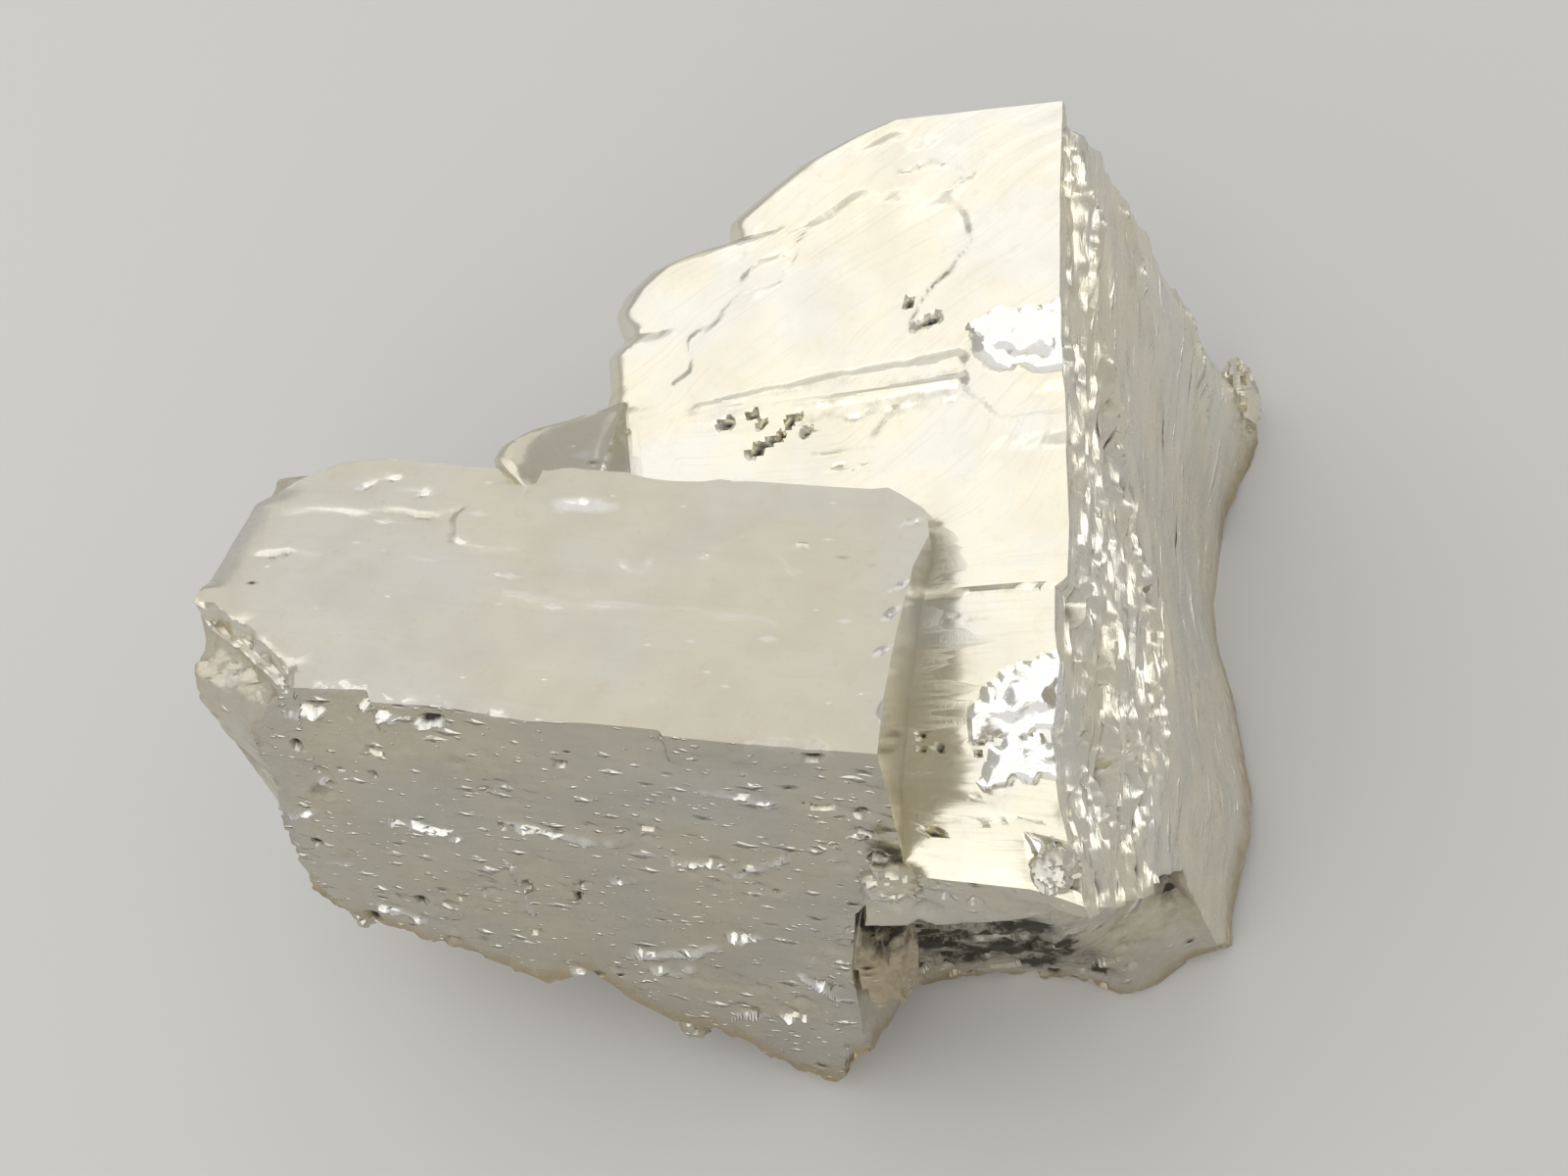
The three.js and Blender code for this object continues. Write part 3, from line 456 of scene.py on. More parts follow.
# the block: x right along its length, y back, z up, from its front right top corner; millimetres
block = {
    "corner": (5.11, -25.85, 45.3),
    "axes": ((0.9671, -0.1795, 0.1803), (0.2057, 0.9686, -0.1393), (-0.1496, 0.1718, 0.9737)),
    "width": 21.4,
    # depth that the end tables are read over, left corners of the top in front and behind
    "usualDepth": 30,
    "leftCorners": (-40.5, -49.6),
    "baseRough": 2.0,
    "cells": (176, 74, 122),
    # left end by depth on top, by height in front and behind; right end by depth; by x the chips of the
    # front edge and the depth of the underside; by height the right front edge
    "leftTop": (
        (0, -40.5), (1.5, -41.6), (4, -44.6), (6, -47.6), (7.5, -49.2), (11, -48.8), (17, -48),
        (19.2, -45.5), (20.5, -43), (21.4, -38.9)),
    "leftFront": (
        (-24, -45.4), (-18.4, -45), (-13.3, -44.2), (-9.8, -44.4), (-4, -44), (-2, -42.6), (0, -40.5)),
    "leftBack": ((-24, -45.4), (-18, -47), (-14, -48.3), (-10, -49), (-7, -50.1), (-3, -49.4), (0, -49.6)),
    "rightTop": ((0, 0), (4, -0.4), (9, -0.5), (15, -0.4), (17.7, 0.2), (19.8, -0.4), (21.4, -3.3)),
    "frontEdge": (
        (-41, 1.2), (-34.4, 1.7), (-33.8, 0.7), (-29.3, 0.9), (-23, 0.3), (-19, 0.5), (-14.1, 0.4),
        (-13.8, 0), (-10, -0.1), (0, 0)),
    "drop": (
        (-48, 20), (-45, 23.6), (-43.7, 26), (-40.1, 27.4), (-29.1, 32.9), (-25.5, 30.8), (-22.5, 34.4),
        (-20.1, 37.5), (-16.6, 37.5), (-14.2, 39.2), (-11, 43), (-7.3, 43.6), (-6, 42.5), (-4.8, 39.1),
        (0, 38)),
    "rightEdge": (
        (-44, -6.5), (-42.5, -6), (-39, -4.8), (-35.7, -5.4), (-26, -5), (-18.8, -3.8), (-13, 0.2),
        (-10.5, 0.3), (0, 0)),
    # marks of the top face: a tab, lines as (points, rise, half width, dirt), nicks and specks as bowls
    "tab": (
        (-32.2, 18.6), (-32.9, 16.6), (-32.5, 14.7), (-31.4, 14.2), (-29.8, 13.9), (-26.7, 14.2),
        (-26.3, 16.1), (-26.1, 18.5), (-27, 20.2), (-30.8, 20.2)),
    "lines": (
        (((-27.4, 10.7), (-24, 9.8), (-19.4, 9.9), (-14.4, 9.8), (-10.7, 9.8), (-8.7, 9.3)), 0.07, 0.2, 0),
        (((-14.9, 2.6), (-13.5, 4.5), (-11.9, 5.5), (-10.4, 7.7), (-8.7, 9.3)), 0.06, 0.16, 0),
        (((-7.2, 11), (-5.2, 14)), 0.04, 0.14, 0), (((-13.2, 3), (-11.4, 4.2), (-10.1, 6)), 0.06, 0.16, 0),
        (((-13.4, 6.9), (-12.6, 5.6)), 0.04, 0.14, 0),
        (((-20, 13.7), (-18.7, 13.1), (-18, 14.1)), 0.1, 0.18, 0),
        (((-14.6, 14.7), (-12.8, 16), (-12.3, 16.3)), 0.09, 0.16, 0),
        (((-10, 15.3), (-8.6, 14.2), (-7.8, 14)), 0.09, 0.16, 0),
        (((-40, 12.3), (-41.7, 10.6), (-41.5, 9.2), (-39.9, 8)), 0.05, 0.25, 0),
        (((-7.9, 16.2), (-5, 15), (-1.7, 15)), -0.05, 0.15, 0.4),
        (((-45.4, 15.8), (-43.3, 16.2), (-33, 16.8)), -0.09, 0.22, 0.15),
        (((-46.1, 12), (-43.9, 12.5)), -0.2, 0.25, 0.7),
        (((-43.9, 12.5), (-33.6, 12.8), (-27.7, 13.1)), -0.05, 0.2, 0.2),
        (((-31.8, 18.4), (-32.9, 16.6), (-32.5, 14.7), (-31.4, 14.2)), -0.14, 0.2, 0.6),
        (((-35.7, 16.7), (-33.9, 16.6)), -0.08, 0.2, 0.2)),
    "nicks": (
        (-23.8, 18.2, 2.3, 0.8, 0, 111), (-0.9, 13.3, 1.2, 0.22, 40, 112), (-1.2, 10.8, 1.2, 0.24, 55, 113),
        (-1.2, 7.8, 1, 0.2, 35, 114), (-1.3, 18.6, 1.1, 0.25, 30, 115), (-0.3, 3.2, 0.25, 1.1, 0, 116),
        (-35.8, 18.5, 0.8, 0.25, 10, 117), (-40.2, 18.7, 0.8, 0.25, 30, 118),
        (-38.3, 19.6, 0.6, 0.2, 0, 119)),
    # least rise of a line that shows as a bright ridge, lightened with a painted highlight
    "highlightRidgeFrom": 0.06,
    # where the left corner has split away
    "split": (
        (-39.6, -1), (-39.8, 2.1), (-42.2, 3.7), (-44, 5), (-45.6, 5.8), (-47.4, 7), (-52, 7.4), (-52, -1)),
    # crumbled stretches of the front edge as (x, half length, reach)
    "crumbled": ((-35.4, 3.6, 0.5), (-30, 2.2, 0.35), (-25, 1, 0.2), (-5.6, 3.4, 0.4)),
    "specks": (
        (-19.2, 13.8, 1.2, 0.4, 20, 126), (-17.9, 14.1, 0.8, 0.3, -40, 127), (-14, 14.8, 1, 0.3, 10, 128),
        (-13.5, 12.3, 0.6, 0.3, 0, 129), (-8.2, 16.2, 1.3, 0.25, 0, 130),
        (-21.6, 11.2, 0.7, 0.25, 30, 131)),
    # marks of the front face, bowls as x, z, two half sizes, turn, seed
    "pits": (
        (-30, -1.4, 1.3, 0.45, 0, 131), (-35, -5, 1, 0.35, -20, 132), (-21.5, -4.2, 0.7, 0.35, 0, 133),
        (-35.7, -7.4, 0.5, 0.8, 20, 134), (-4.6, -6.4, 1.9, 0.35, 0, 135), (-14.3, -7.1, 0.6, 0.3, 0, 136),
        (-16.9, -10.9, 1.1, 0.25, 0, 137), (-2, -6.6, 1, 0.5, 30, 138), (-2, -9, 0.9, 0.6, 0, 139),
        (-23.3, -18.8, 1.2, 0.4, 35, 140), (-23.8, -20.6, 0.3, 0.8, -10, 141),
        (-27.7, -19.5, 0.3, 0.9, 15, 142), (-27.2, -12.1, 1, 0.4, 20, 143),
        (-36.7, -23.6, 0.4, 1.1, -20, 144), (-28.5, -25.8, 0.6, 0.5, 0, 145),
        (-41.5, -26.3, 0.7, 0.8, 0, 146), (-43.2, -16.6, 0.6, 0.6, 0, 147), (-1.3, -11.6, 0.9, 0.7, 0, 148),
        (-40.8, -4.6, 0.6, 0.5, 0, 149), (-9, -17.4, 0.7, 0.3, 0, 150), (-25.4, -31.6, 0.9, 0.7, 20, 168),
        (-4.2, -0.8, 0.9, 0.5, 0, 169)),
    # bright veins of the front as (points, half width), then blades as bowls
    "veins": (
        (((-36, -12.9), (-34, -13.3), (-31.9, -13.6)), 0.26),
        (((-26.9, -11.8), (-25.4, -12), (-23.3, -12.6), (-20.2, -13.4)), 0.38),
        (((-15.6, -14.7), (-13.1, -14.7), (-11.4, -15.5), (-9.4, -13.9), (-7.6, -13.1)), 0.3),
        (((-40.9, -2), (-37.6, -2)), 0.35),
        (((-34.9, -1.5), (-33, -1.5), (-31.1, -1.9), (-29, -1.6)), 0.32),
        (((-11.9, -6), (-9.9, -6.2), (-7.8, -6.6)), 0.26), (((-20.9, -17.7), (-19.2, -17.7)), 0.28),
        (((-40.3, -25), (-37.5, -25.8)), 0.35),
        (((-21.7, -28.1), (-19.1, -27.9), (-16.3, -26.4), (-15, -25.5)), 0.5),
        (((-20.4, -30.2), (-17.5, -29.3)), 0.5), (((-43.1, -19.4), (-41.2, -19)), 0.3),
        (((-43.8, -13.4), (-41.4, -12.1)), 0.34), (((-28, -17.7), (-28.1, -20.9), (-28, -23.7)), 0.2),
        (((-13.3, -23.9), (-10.8, -23.5)), 0.32), (((-14.9, -35), (-9.6, -33.8)), 0.25)),
    "blades": (
        (-7.9, -29.4, 2.7, 0.45, -50, 155), (-40.2, -8.6, 0.9, 0.3, 25, 158), (-8, -6.6, 1.2, 0.3, 0, 163),
        (-26.2, -31.2, 0.9, 0.7, 0, 164), (-31.4, -14.3, 0.7, 0.3, 30, 165)),
}


# drop of the broken underside, sloping back, plus lattice noise
def blockDepth(x, y):
    return read(block["drop"], x) + 0.35 * y + block["baseRough"] * noise(x / 5, y / 5, 2) * smooth(y, 0, 4)


# inward relief of the front: chipped edge, faint beds, small lozenges that crowd downwards,
# pits, bright veins and blades
def blockFront(x, z):
    edge = read(block["frontEdge"], x) * smooth(z, -6, 0)
    low = np.clip(smooth(z, -12, -32) + 0.5 * smooth(x, -22, -6), 0, 1)
    beds = (0.1 + 0.16 * low) * (0.4 * noise(x / 9, z / 1.6, 21) + 0.6 * noise(x / 4, z / 3, 22))
    patchy = smooth(noise(x / 6, z / 4, 170), -0.55 - 0.5 * low, 0.5)
    raised = studs(x / 2.1, z / 1.1, 171, 0.25 + 0.3 * low, 0.2)
    sunk = studs(x / 2.2, z / 1.2, 176, 0.2, 0.15)
    small = studs(x / 1.1, z / 0.7, 188, 0.2 + 0.16 * low, 0.3) * (0.5 + 0.6 * noise(x / 2.5, z / 2, 221))
    flakes = patchy * ((0.05 + 0.12 * low) * facets(x / 2.6, z / 1.6, 181)
                       - 0.14 * raised - 0.14 * small + 0.2 * sunk)
    lines = 0.03 * noise(x / 14, z / 0.7, 186)
    u, v = x + 0.25 * noise(x / 0.8, z / 0.8, 218), z + 0.2 * noise(x / 0.8, z / 0.7, 219)
    pits = bowls(u, v, block["pits"], 0.5)
    blades = bowls(x, z, block["blades"], 0.3)
    u, v = x + 0.3 * noise(x / 1.2, z / 1.2, 166), z + 0.3 * noise(x / 1.1, z / 1.1, 167)
    veins = most(*(bump(farFrom(u, v, path) / half) for path, half in block["veins"]))
    veins = veins * np.clip(0.75 + 0.8 * noise(x / 0.9, z / 0.8, 168), 0, 1.2)
    level = edge + (beds + flakes + lines) * smooth(z, 0, -1.2)
    uneven = 1 + 0.8 * np.clip(rumple(x / 0.7, z / 0.6, 189), -1, 1)
    level += 0.5 * smooth(pits, 0.1, 0.9) - 0.4 * smooth(blades, 0, 0.9) - 0.5 * veins * uneven
    inSunk = 0.5 * patchy * sunk * smooth(noise(x / 5, z / 3, 187), -0.1, 0.4)
    inVeins = 0.45 * smooth(veins, 0.1, 0.5) * smooth(noise(x / 1.2, z / 0.9, 222), -0.3, 0.5)
    dirt = most(0.9 * smooth(pits, 0.25, 0.8), inSunk, inVeins)
    # the third value is painted highlight on the blades and veins
    return level, dirt, np.maximum(smooth(blades, 0, 0.5), 0.8 * smooth(veins, 0.15, 0.45))


# rise of the top face: two ledges, a tab, faint swells, fine lines, specks and nicks,
# its left end rolled over behind and split away in front
def blockTop(x, y):
    ledges = (0.1 * smooth(y, 15.6, 17) * smooth(x, -33, -36)
              + 0.08 * smooth(y, 11.8, 13) * smooth(x, -28, -32))
    level = ledges + 0.07 * smooth(insideBy(x, y, block["tab"]), -0.1, 0.3)
    level += 0.2 * rumple(x / 14, y / 8, 190) + 0.012 * noise(x / 12, y / 1.1, 193) * smooth(y, 8, 14)
    u, v = x + 0.4 * noise(x / 1.3, y / 1.3, 194), y + 0.4 * noise(x / 1.6, y / 1.6, 195)
    dirt, keep, ridgeHighlight = (np.zeros(np.shape(x)) for mark in range(3))
    for path, rise, half, soil in block["lines"]:
        line = bump(farFrom(u, v, path) / half)
        keep = np.maximum(keep, line)
        line = line * (0.65 + 0.5 * noise(x / 1.7, y / 1.7, 196))
        ridgeHighlight = np.maximum(ridgeHighlight, line * (rise > block["highlightRidgeFrom"]))
        level = level + rise * line
        dirt = np.maximum(dirt, soil * line)
    nicks = bowls(x, y, block["nicks"])
    inward = x - read(block["leftTop"], y)
    rolled = 0.5 * np.maximum(0, 1 - inward / 4) ** 2 * smooth(y, 8.5, 10) * smooth(y, 21.4, 17)
    split = smooth(insideBy(u, v, block["split"]), -0.1, 0.5)
    reach = sum(r * smooth(np.abs(x - at), half, 0.4 * half) for at, half, r in block["crumbled"])
    crumbled = smooth(y + 0.5 * noise(x / 0.7, y, 198), reach + 0.3, reach - 0.2) * smooth(reach, 0, 0.2)
    level = level - nicks * (0.2 + 0.2 * rumple(x, y, 197)) + 0.12 * bowls(x, y, block["specks"])
    level -= crumbled * (0.06 + 0.1 * rumple(x / 0.6, y / 0.6, 199)) + rolled
    level -= split * (0.5 + 0.12 * np.maximum(0, -39 - x) + 0.3 * facets(x / 1.3, y / 1.1, 202, 1.3)
                      + 0.22 * rumple(x / 0.8, y / 0.8, 205))
    # lighter colour: the nicks as fresh breaks with a painted highlight, painted highlights on the bright
    # ridges and the rolled left end, fresh breaks where crumbled and split
    freshAndHighlight = most(0.7 * smooth(nicks, 0, 0.4), 0.4 * ridgeHighlight, 0.3 * crumbled, 0.3 * split,
                 0.5 * smooth(rolled, 0.05, 0.4))
    return level, dirt, freshAndHighlight, np.maximum(0.6 * split, 0.45 * crumbled), keep


# the back: two steps, a soft swell, striae and flat-topped lozenges
def blockBack(x, z):
    return (0.9 * smooth(z, -8, -8.8) + 0.7 * smooth(z, -19, -20) + 0.4 * noise(x / 6, z / 3, 23)
            + 0.15 * saw(z / 1.9 + 0.6 * noise(x / 8, z / 3, 207)) + 0.2 * studs(x / 4, z / 1.8, 208, 0.3))


# a point of the box (t right, v back, w up from -1): broken left end, then the face reliefs
def blockShape(t, v, w):
    y0 = v * block["width"]
    z1 = block["usualDepth"] * w
    left = mix(read(block["leftFront"], z1), read(block["leftBack"], z1), smooth(y0, 0, 4))
    corner = read(block["leftTop"], y0) - mix(*block["leftCorners"], smooth(y0, 0, 4))
    x1 = mix(left + np.maximum(0, corner) * smooth(w, -0.1, 0), read(block["rightTop"], y0), t)
    z0 = w * blockDepth(x1, y0)
    x0 = x1 + read(block["rightEdge"], z0) * t ** 9 * (1 - v)
    low = smooth(z0, 0, -1)
    endFacets = (0.45 + 0.4 * noise(y0 / 3, z0 / 3, 24) + 0.4 * facets(y0 / 3.4, z0 / 2.6, 212)
                 + 0.2 * rumple(y0 / 1.4, z0, 213))
    front, frontDirt, frontHighlight = blockFront(x0, z0)
    top, topDirt, topFreshAndHighlight, splitAway, keep = blockTop(x0, y0)
    base = 0.6 * facets(x0 / 2.4, y0 / 2.4, 217) * (-w) ** 12
    place = (x0 + endFacets * (1 - t) ** 6 * low,
             y0 + front * (1 - v) ** 3 + blockBack(x0, z0) * v ** 4,
             z0 + top * (1 + w) ** 3 + base)
    onFront, onTop, onEnd = smooth(v, 0.03, 0), smooth(w, -0.02, 0), smooth(t, 0.02, 0)
    endDirt = 0.3 * smooth(noise(y0 / 2, z0 / 2, 222), 0.1, 0.5)
    dirt = most(onFront * frontDirt, onTop * topDirt, onEnd * endDirt)
    freshAndHighlight = np.maximum(onTop * topFreshAndHighlight, 0.8 * onFront * frontHighlight)
    ragged = onEnd * np.maximum(0.5 * smooth(z0, -8, -3), 0.25)
    crusty = 0.6 * smooth(x0, -7, -4) * smooth(z0, -18, -24)
    crumbly = 0.3 * onFront * smooth(noise(x0 / 5, z0 / 3, 225) + 0.5 * smooth(z0, -10, -30), 0, 0.7)
    sides = [w == 0, (v == 0) | (v == 1), (t == 0) | (t == 1)]
    along = np.select(sides, [x0, x0 + 0.35 * z0, z0], x0)
    across = np.select(sides, [y0, z0 + 0.5 * noise(x0 / 6, z0 / 4, 226), y0], y0)
    broken = most(smooth(w, -0.9, -1), crusty, crumbly, ragged, onTop * splitAway)
    return place, {"dirt": dirt, "freshAndHighlight": freshAndHighlight, "broken": broken, "along": along, "across": across,
                   "keep": onTop * keep}


# a place in a crystal's own coordinates, turned along its axes and moved from its corner
def placed(home, points):
    return points @ unit(home["axes"]) + np.array(home["corner"])


# six sheets of one grid box, welded by their lattice place, spans 0 to 1 and the last one from lowest;
# shape gives each point and its marks
def gridBox(name, home, lowest, shape, faces):
    nu, nv, nw = (n + 1 for n in home["cells"])
    lattice = np.arange(nu * nv * nw).reshape(nu, nv, nw)
    sheets = (lattice[:, :, 0].T, lattice[:, :, -1], lattice[0].T, lattice[-1],
              lattice[:, 0], lattice[:, -1].T)
    quads = [np.stack((g[:-1, :-1], g[1:, :-1], g[1:, 1:], g[:-1, 1:]), -1).reshape(-1, 4) for g in sheets]
    marks = np.repeat(faces, [len(sheet) for sheet in quads])
    used, quads = np.unique(np.concatenate(quads), return_inverse=True)
    quads = quads.reshape(-1, 4)
    i, j, k = np.unravel_index(used, (nu, nv, nw))
    place, values = shape(np.linspace(0, 1, nu)[i], np.linspace(0, 1, nv)[j],
                          np.linspace(lowest, lowest + 1, nw)[k])
    return makeMesh(name, placed(home, np.stack(place, -1)) * mm, quads.tolist(), marks, values)


# an object made of some data and put in the scene
def added(name, data):
    made = bpy.data.objects.new(name, data)
    bpy.context.collection.objects.link(made)
    return made


# a mesh of points, faces and finish numbers; marks become point attributes, held to 0 and 1,
# and where none say otherwise grain runs along x and across y + z
def makeMesh(name, points, polygons, marks, values):
    mesh = bpy.data.meshes.new(name)
    mesh.from_pydata(points.tolist(), [], polygons)
    places = points / mm
    values = {"along": places[:, 0], "across": places[:, 1] + places[:, 2]} | values
    for label in ("dirt", "freshAndHighlight", "broken", "keep", "along", "across"):
        layer = mesh.attributes.new(label, "FLOAT", "POINT")
        level = np.zeros(len(points)) + values.get(label, 0)
        if label not in ("along", "across"):
            level = np.clip(level, 0, 1)
        layer.data.foreach_set("value", level.astype(np.float32))
    for finish in finishes:
        mesh.materials.append(finish)
    mesh.polygons.foreach_set("material_index", np.asarray(marks, np.int32))
    mesh.update()
    return added(name, mesh)


# rings of points, each closed on itself, and one point at either end; ring by ring, end caps as fans
def ringSolid(name, rings, first, last, finish, values):
    count, around = rings.shape[:2]
    points = np.concatenate((rings.reshape(-1, 3), [first], [last]))
    lattice = np.arange(count * around).reshape(count, around)
    turned = np.roll(lattice, -1, 1)
    sides = np.stack((lattice[:-1], turned[:-1], turned[1:], lattice[1:]), -1).reshape(-1, 4)
    start, end = count * around, count * around + 1
    floor = np.stack((turned[0], lattice[0], np.full(around, start)), -1)
    roof = np.stack((lattice[-1], turned[-1], np.full(around, end)), -1)
    mesh = sides.tolist() + floor.tolist() + roof.tolist()
    return makeMesh(name, points * mm, mesh, np.full(len(mesh), finish), values)


# outline carried up a table of (height, inset) rows and on to its middle; stepped and uneven sides,
# a gently uneven top that falls away to the right past the start of each slope
def mound(name, home, outline, levels, slopes, finish, seed):
    around, upward, inward = 96, 34, 14
    corners = np.array(outline + outline[:1], float)
    run = np.concatenate(([0], np.cumsum(np.hypot(*np.diff(corners, axis=0).T))))
    at = np.linspace(0, run[-1], around + 1)[:-1]
    edge = np.stack((np.interp(at, run, corners[:, 0]), np.interp(at, run, corners[:, 1])), -1)
    edge = (edge + 0.5 * (np.roll(edge, 1, 0) + np.roll(edge, -1, 0))) / 2
    middle = edge.mean(0)
    reach = np.hypot(*(edge - middle).T)
    table = np.array(levels, float)
    step, rows = np.linspace(0, 1, upward), np.linspace(0, 1, len(table))
    height, inset = np.interp(step, rows, table[:, 0]), np.interp(step, rows, table[:, 1])
    sides = smooth(height, -0.5, -2.5)[:, None]
    steps = 0.3 * saw(height[:, None] / 2.3 + 0.5 * noise(at / 4, height[:, None] / 3, seed + 1))
    steps = steps + 0.45 * noise(at / 2.4, height[:, None] / 3.5, seed + 2)
    shares = 1 - (inset[:, None] + sides * steps) / reach
    inner = np.linspace(1, 0.06, inward)[1:, None] * shares[-1]
    shares = np.concatenate((shares, inner))
    height = np.concatenate((height, np.full(len(inner), height[-1])))
    flat = middle + (edge - middle) * shares[..., None]
    swell = 0.12 * rumple(flat[..., 0] / 3, flat[..., 1] / 3, seed) * smooth(height, -1, 0.5)[:, None]
    rise = np.maximum(height, 0)[:, None] * (1 - 1.1 * smooth(flat[..., 0], -29.5, -25))
    slant = sum(steep * np.maximum(0, flat[..., 0] - start) for start, steep in slopes)
    level = np.minimum(height, 0)[:, None] + rise + swell - slant * smooth(height, -11, -2)[:, None]
    local = np.concatenate((flat, level[..., None]), -1)
    tips = np.array(((*middle, height[0]), (*middle, level[-1].mean())))
    return ringSolid(name, placed(home, local), *placed(home, tips), finish, {})


# a stone: a sphere by height and turn, pushed in and out by facets, then stretched to its half sizes
def stone(name, home, at, sizes, finish, seed, soil):
    upward, around = 24, 40
    height = np.cos(np.linspace(pi, 0, upward + 2)[1:-1])[:, None]
    turn = np.linspace(0, 2 * pi, around + 1)[None, :-1]
    flat = np.sqrt(1 - height * height)
    ball = np.stack(np.broadcast_arrays(flat * np.cos(turn), flat * np.sin(turn), height), -1)
    push = 1 + 0.3 * facets(ball[..., 0] * 2.2 + ball[..., 2], ball[..., 1] * 2.2 - ball[..., 2], seed)
    local = ball * push[..., None] * np.array(sizes) + np.array(at)
    tips = np.array(((0, 0, -1), (0, 0, 1))) * np.array(sizes) * 0.95 + np.array(at)
    lift = np.concatenate((ball[..., 2].ravel(), (-1, 1)))
    speckle = 0.35 * noise(3 * lift, np.arange(len(lift)) / 7, seed + 5)
    values = {"broken": 0.9 * (finish == crust), "dirt": soil * smooth(lift + speckle, -0.4, 0.7)}
    return ringSolid(name, placed(home, local), *placed(home, tips), finish, values)


# finishes: colours are linear; lengths in millimetres
# the dirt colour darkens dirt and also paints shade in the low recess and its groove
stoneLook = {
    "pale": (0.82, 0.775, 0.63), "silver": (0.79, 0.775, 0.70), "brass": (0.73, 0.65, 0.46),
    # the fresh colour lightens fresh breaks and also paints highlights on nicks, bright ridges, the rolled
    # edge, veins, blades and glints
    "freshAndHighlight": (0.89, 0.885, 0.865), "broken": (0.50, 0.42, 0.28), "dirt": (0.048, 0.042, 0.028),
    # deep is the colour of painted shade: each finish's shade darkens its colour towards it
    "deep": (0.10, 0.09, 0.07), "streak": (0.56, 0.50, 0.40),
    "fleck": 1.1, "mottle": 4.5,
}
# one row per finish: lineSize and glintSize are the length and width of growth lines and glints;
# line, crumb, glint and hole are depths, lit and share the shares of cells with a glint or a hole,
# cloud the width of the colour clouds, streak the strength of the coloured lines
# shade is painted shade: below 1 it darkens the whole face towards the deep colour, most on the bedded front
lookNames = ("rough", "shade", "cloud", "lineSize", "line", "streak", "crumb", "glintSize", "glint",
             "lit", "hole", "share")
faceLooks = {
    "brightPyrite": (0.2, 1.0, 8.0, (9, 0.42), 0.012, 0.22, 0.003, (2, 1), 0.0, 0.0, 0.01, 0.01),
    "topPyrite": (0.22, 0.86, 16.0, (10, 0.8), 0.006, 0.08, 0.002, (1.4, 0.6), 0.03, 0.012, 0.01, 0.01),
    "ridgedPyrite": (0.29, 1.0, 9.0, (5, 0.5), 0.05, 0.15, 0.03, (5.5, 0.75), 0.15, 0.3, 0.1, 0.05),
    "beddedPyrite": (0.22, 0.68, 9.0, (4, 0.5), 0.012, 0.2, 0.014, (1.6, 0.6), 0.3, 0.3, 0.12, 0.08),
    "brokenPyrite": (0.34, 0.8, 7.0, (3, 1), 0.02, 0.1, 0.08, (1.5, 1), 0.2, 0.2, 0.12, 0.12),
    "crustPyrite": (0.4, 0.8, 7.0, (2, 0.8), 0.04, 0.1, 0.16, (1.4, 0.8), 0.2, 0.35, 0.14, 0.25),
}


# adds a node, sets its properties, and its sockets from values or links
def node(tree, kind, sockets=None, **settings):
    made = tree.nodes.new("ShaderNode" + kind)
    for key, value in settings.items():
        setattr(made, key, value)
    for key, value in (sockets or {}).items():
        if isinstance(value, bpy.types.NodeSocket):
            tree.links.new(value, made.inputs[key])
        else:
            made.inputs[key].default_value = value
    return made


# one step of arithmetic on values or links
def sums(tree, operation, *values, clamp=False):
    made = node(tree, "Math", dict(enumerate(values)), operation=operation, use_clamp=clamp)
    return made.outputs[0]


# a * k + b
def scaled(tree, a, k, b, clamp=False):
    return sums(tree, "MULTIPLY_ADD", a, k, b, clamp=clamp)


# 0 at low, top at high, a straight line between
def ranged(tree, value, low, high, top=1.0):
    return node(tree, "MapRange", {0: value, 1: low, 2: high, 4: top}).outputs[0]


# layered noise, 0 to 1
def clouds(tree, place, scale, detail, roughness=0.5):
    return node(tree, "TexNoise", {"Vector": place, "Scale": scale, "Detail": detail,
                                   "Roughness": roughness}).outputs[0]


# low colour at share 0, high colour at share 1
def blendColors(tree, share, low, high):
    low, high = ((*end, 1) if isinstance(end, tuple) else end for end in (low, high))
    return node(tree, "Mix", {0: share, 6: low, 7: high}, data_type="RGBA").outputs[2]


# a node group: one input for the place, the others by name with their first values; outputs by name
def newGroup(name, inputs, outputs):
    group = bpy.data.node_groups.new(name, "ShaderNodeTree")
    group.interface.new_socket("Vector", in_out="INPUT", socket_type="NodeSocketVector")
    for label, value in inputs.items():
        socket = group.interface.new_socket(label, in_out="INPUT", socket_type="NodeSocketFloat")
        socket.default_value = value
    for label in outputs:
        kind = "NodeSocketColor" if label == "Color" else "NodeSocketFloat"
        group.interface.new_socket(label, in_out="OUTPUT", socket_type=kind)
    return group, group.nodes.new("NodeGroupInput").outputs, group.nodes.new("NodeGroupOutput").inputs


# growth lines: streaks of two widths on stretched coordinates
def growthLineGroup():
    tree, given, out = newGroup("growthLines", {}, ("Height", "Streak"))
    broad = clouds(tree, given["Vector"], 1.0, 3.0, 0.6)
    both = scaled(tree, clouds(tree, given["Vector"], 3.7, 2.0), 0.4, broad)
    tree.links.new(sums(tree, "SUBTRACT", both, 0.7), out["Height"])
    tree.links.new(ranged(tree, both, 0.72, 0.95), out["Streak"])
    return tree


# height of the small plane of each cell, tilted by the cell's random colour
def cellPlane(tree, place, cells):
    parts = []
    for a, b in ((place, cells.outputs["Position"]), (cells.outputs["Color"], (0.5, 0.5, 0.5))):
        parts.append(node(tree, "VectorMath", {0: a, 1: b}, operation="SUBTRACT").outputs[0])
    return node(tree, "VectorMath", dict(enumerate(parts)), operation="DOT_PRODUCT").outputs["Value"]


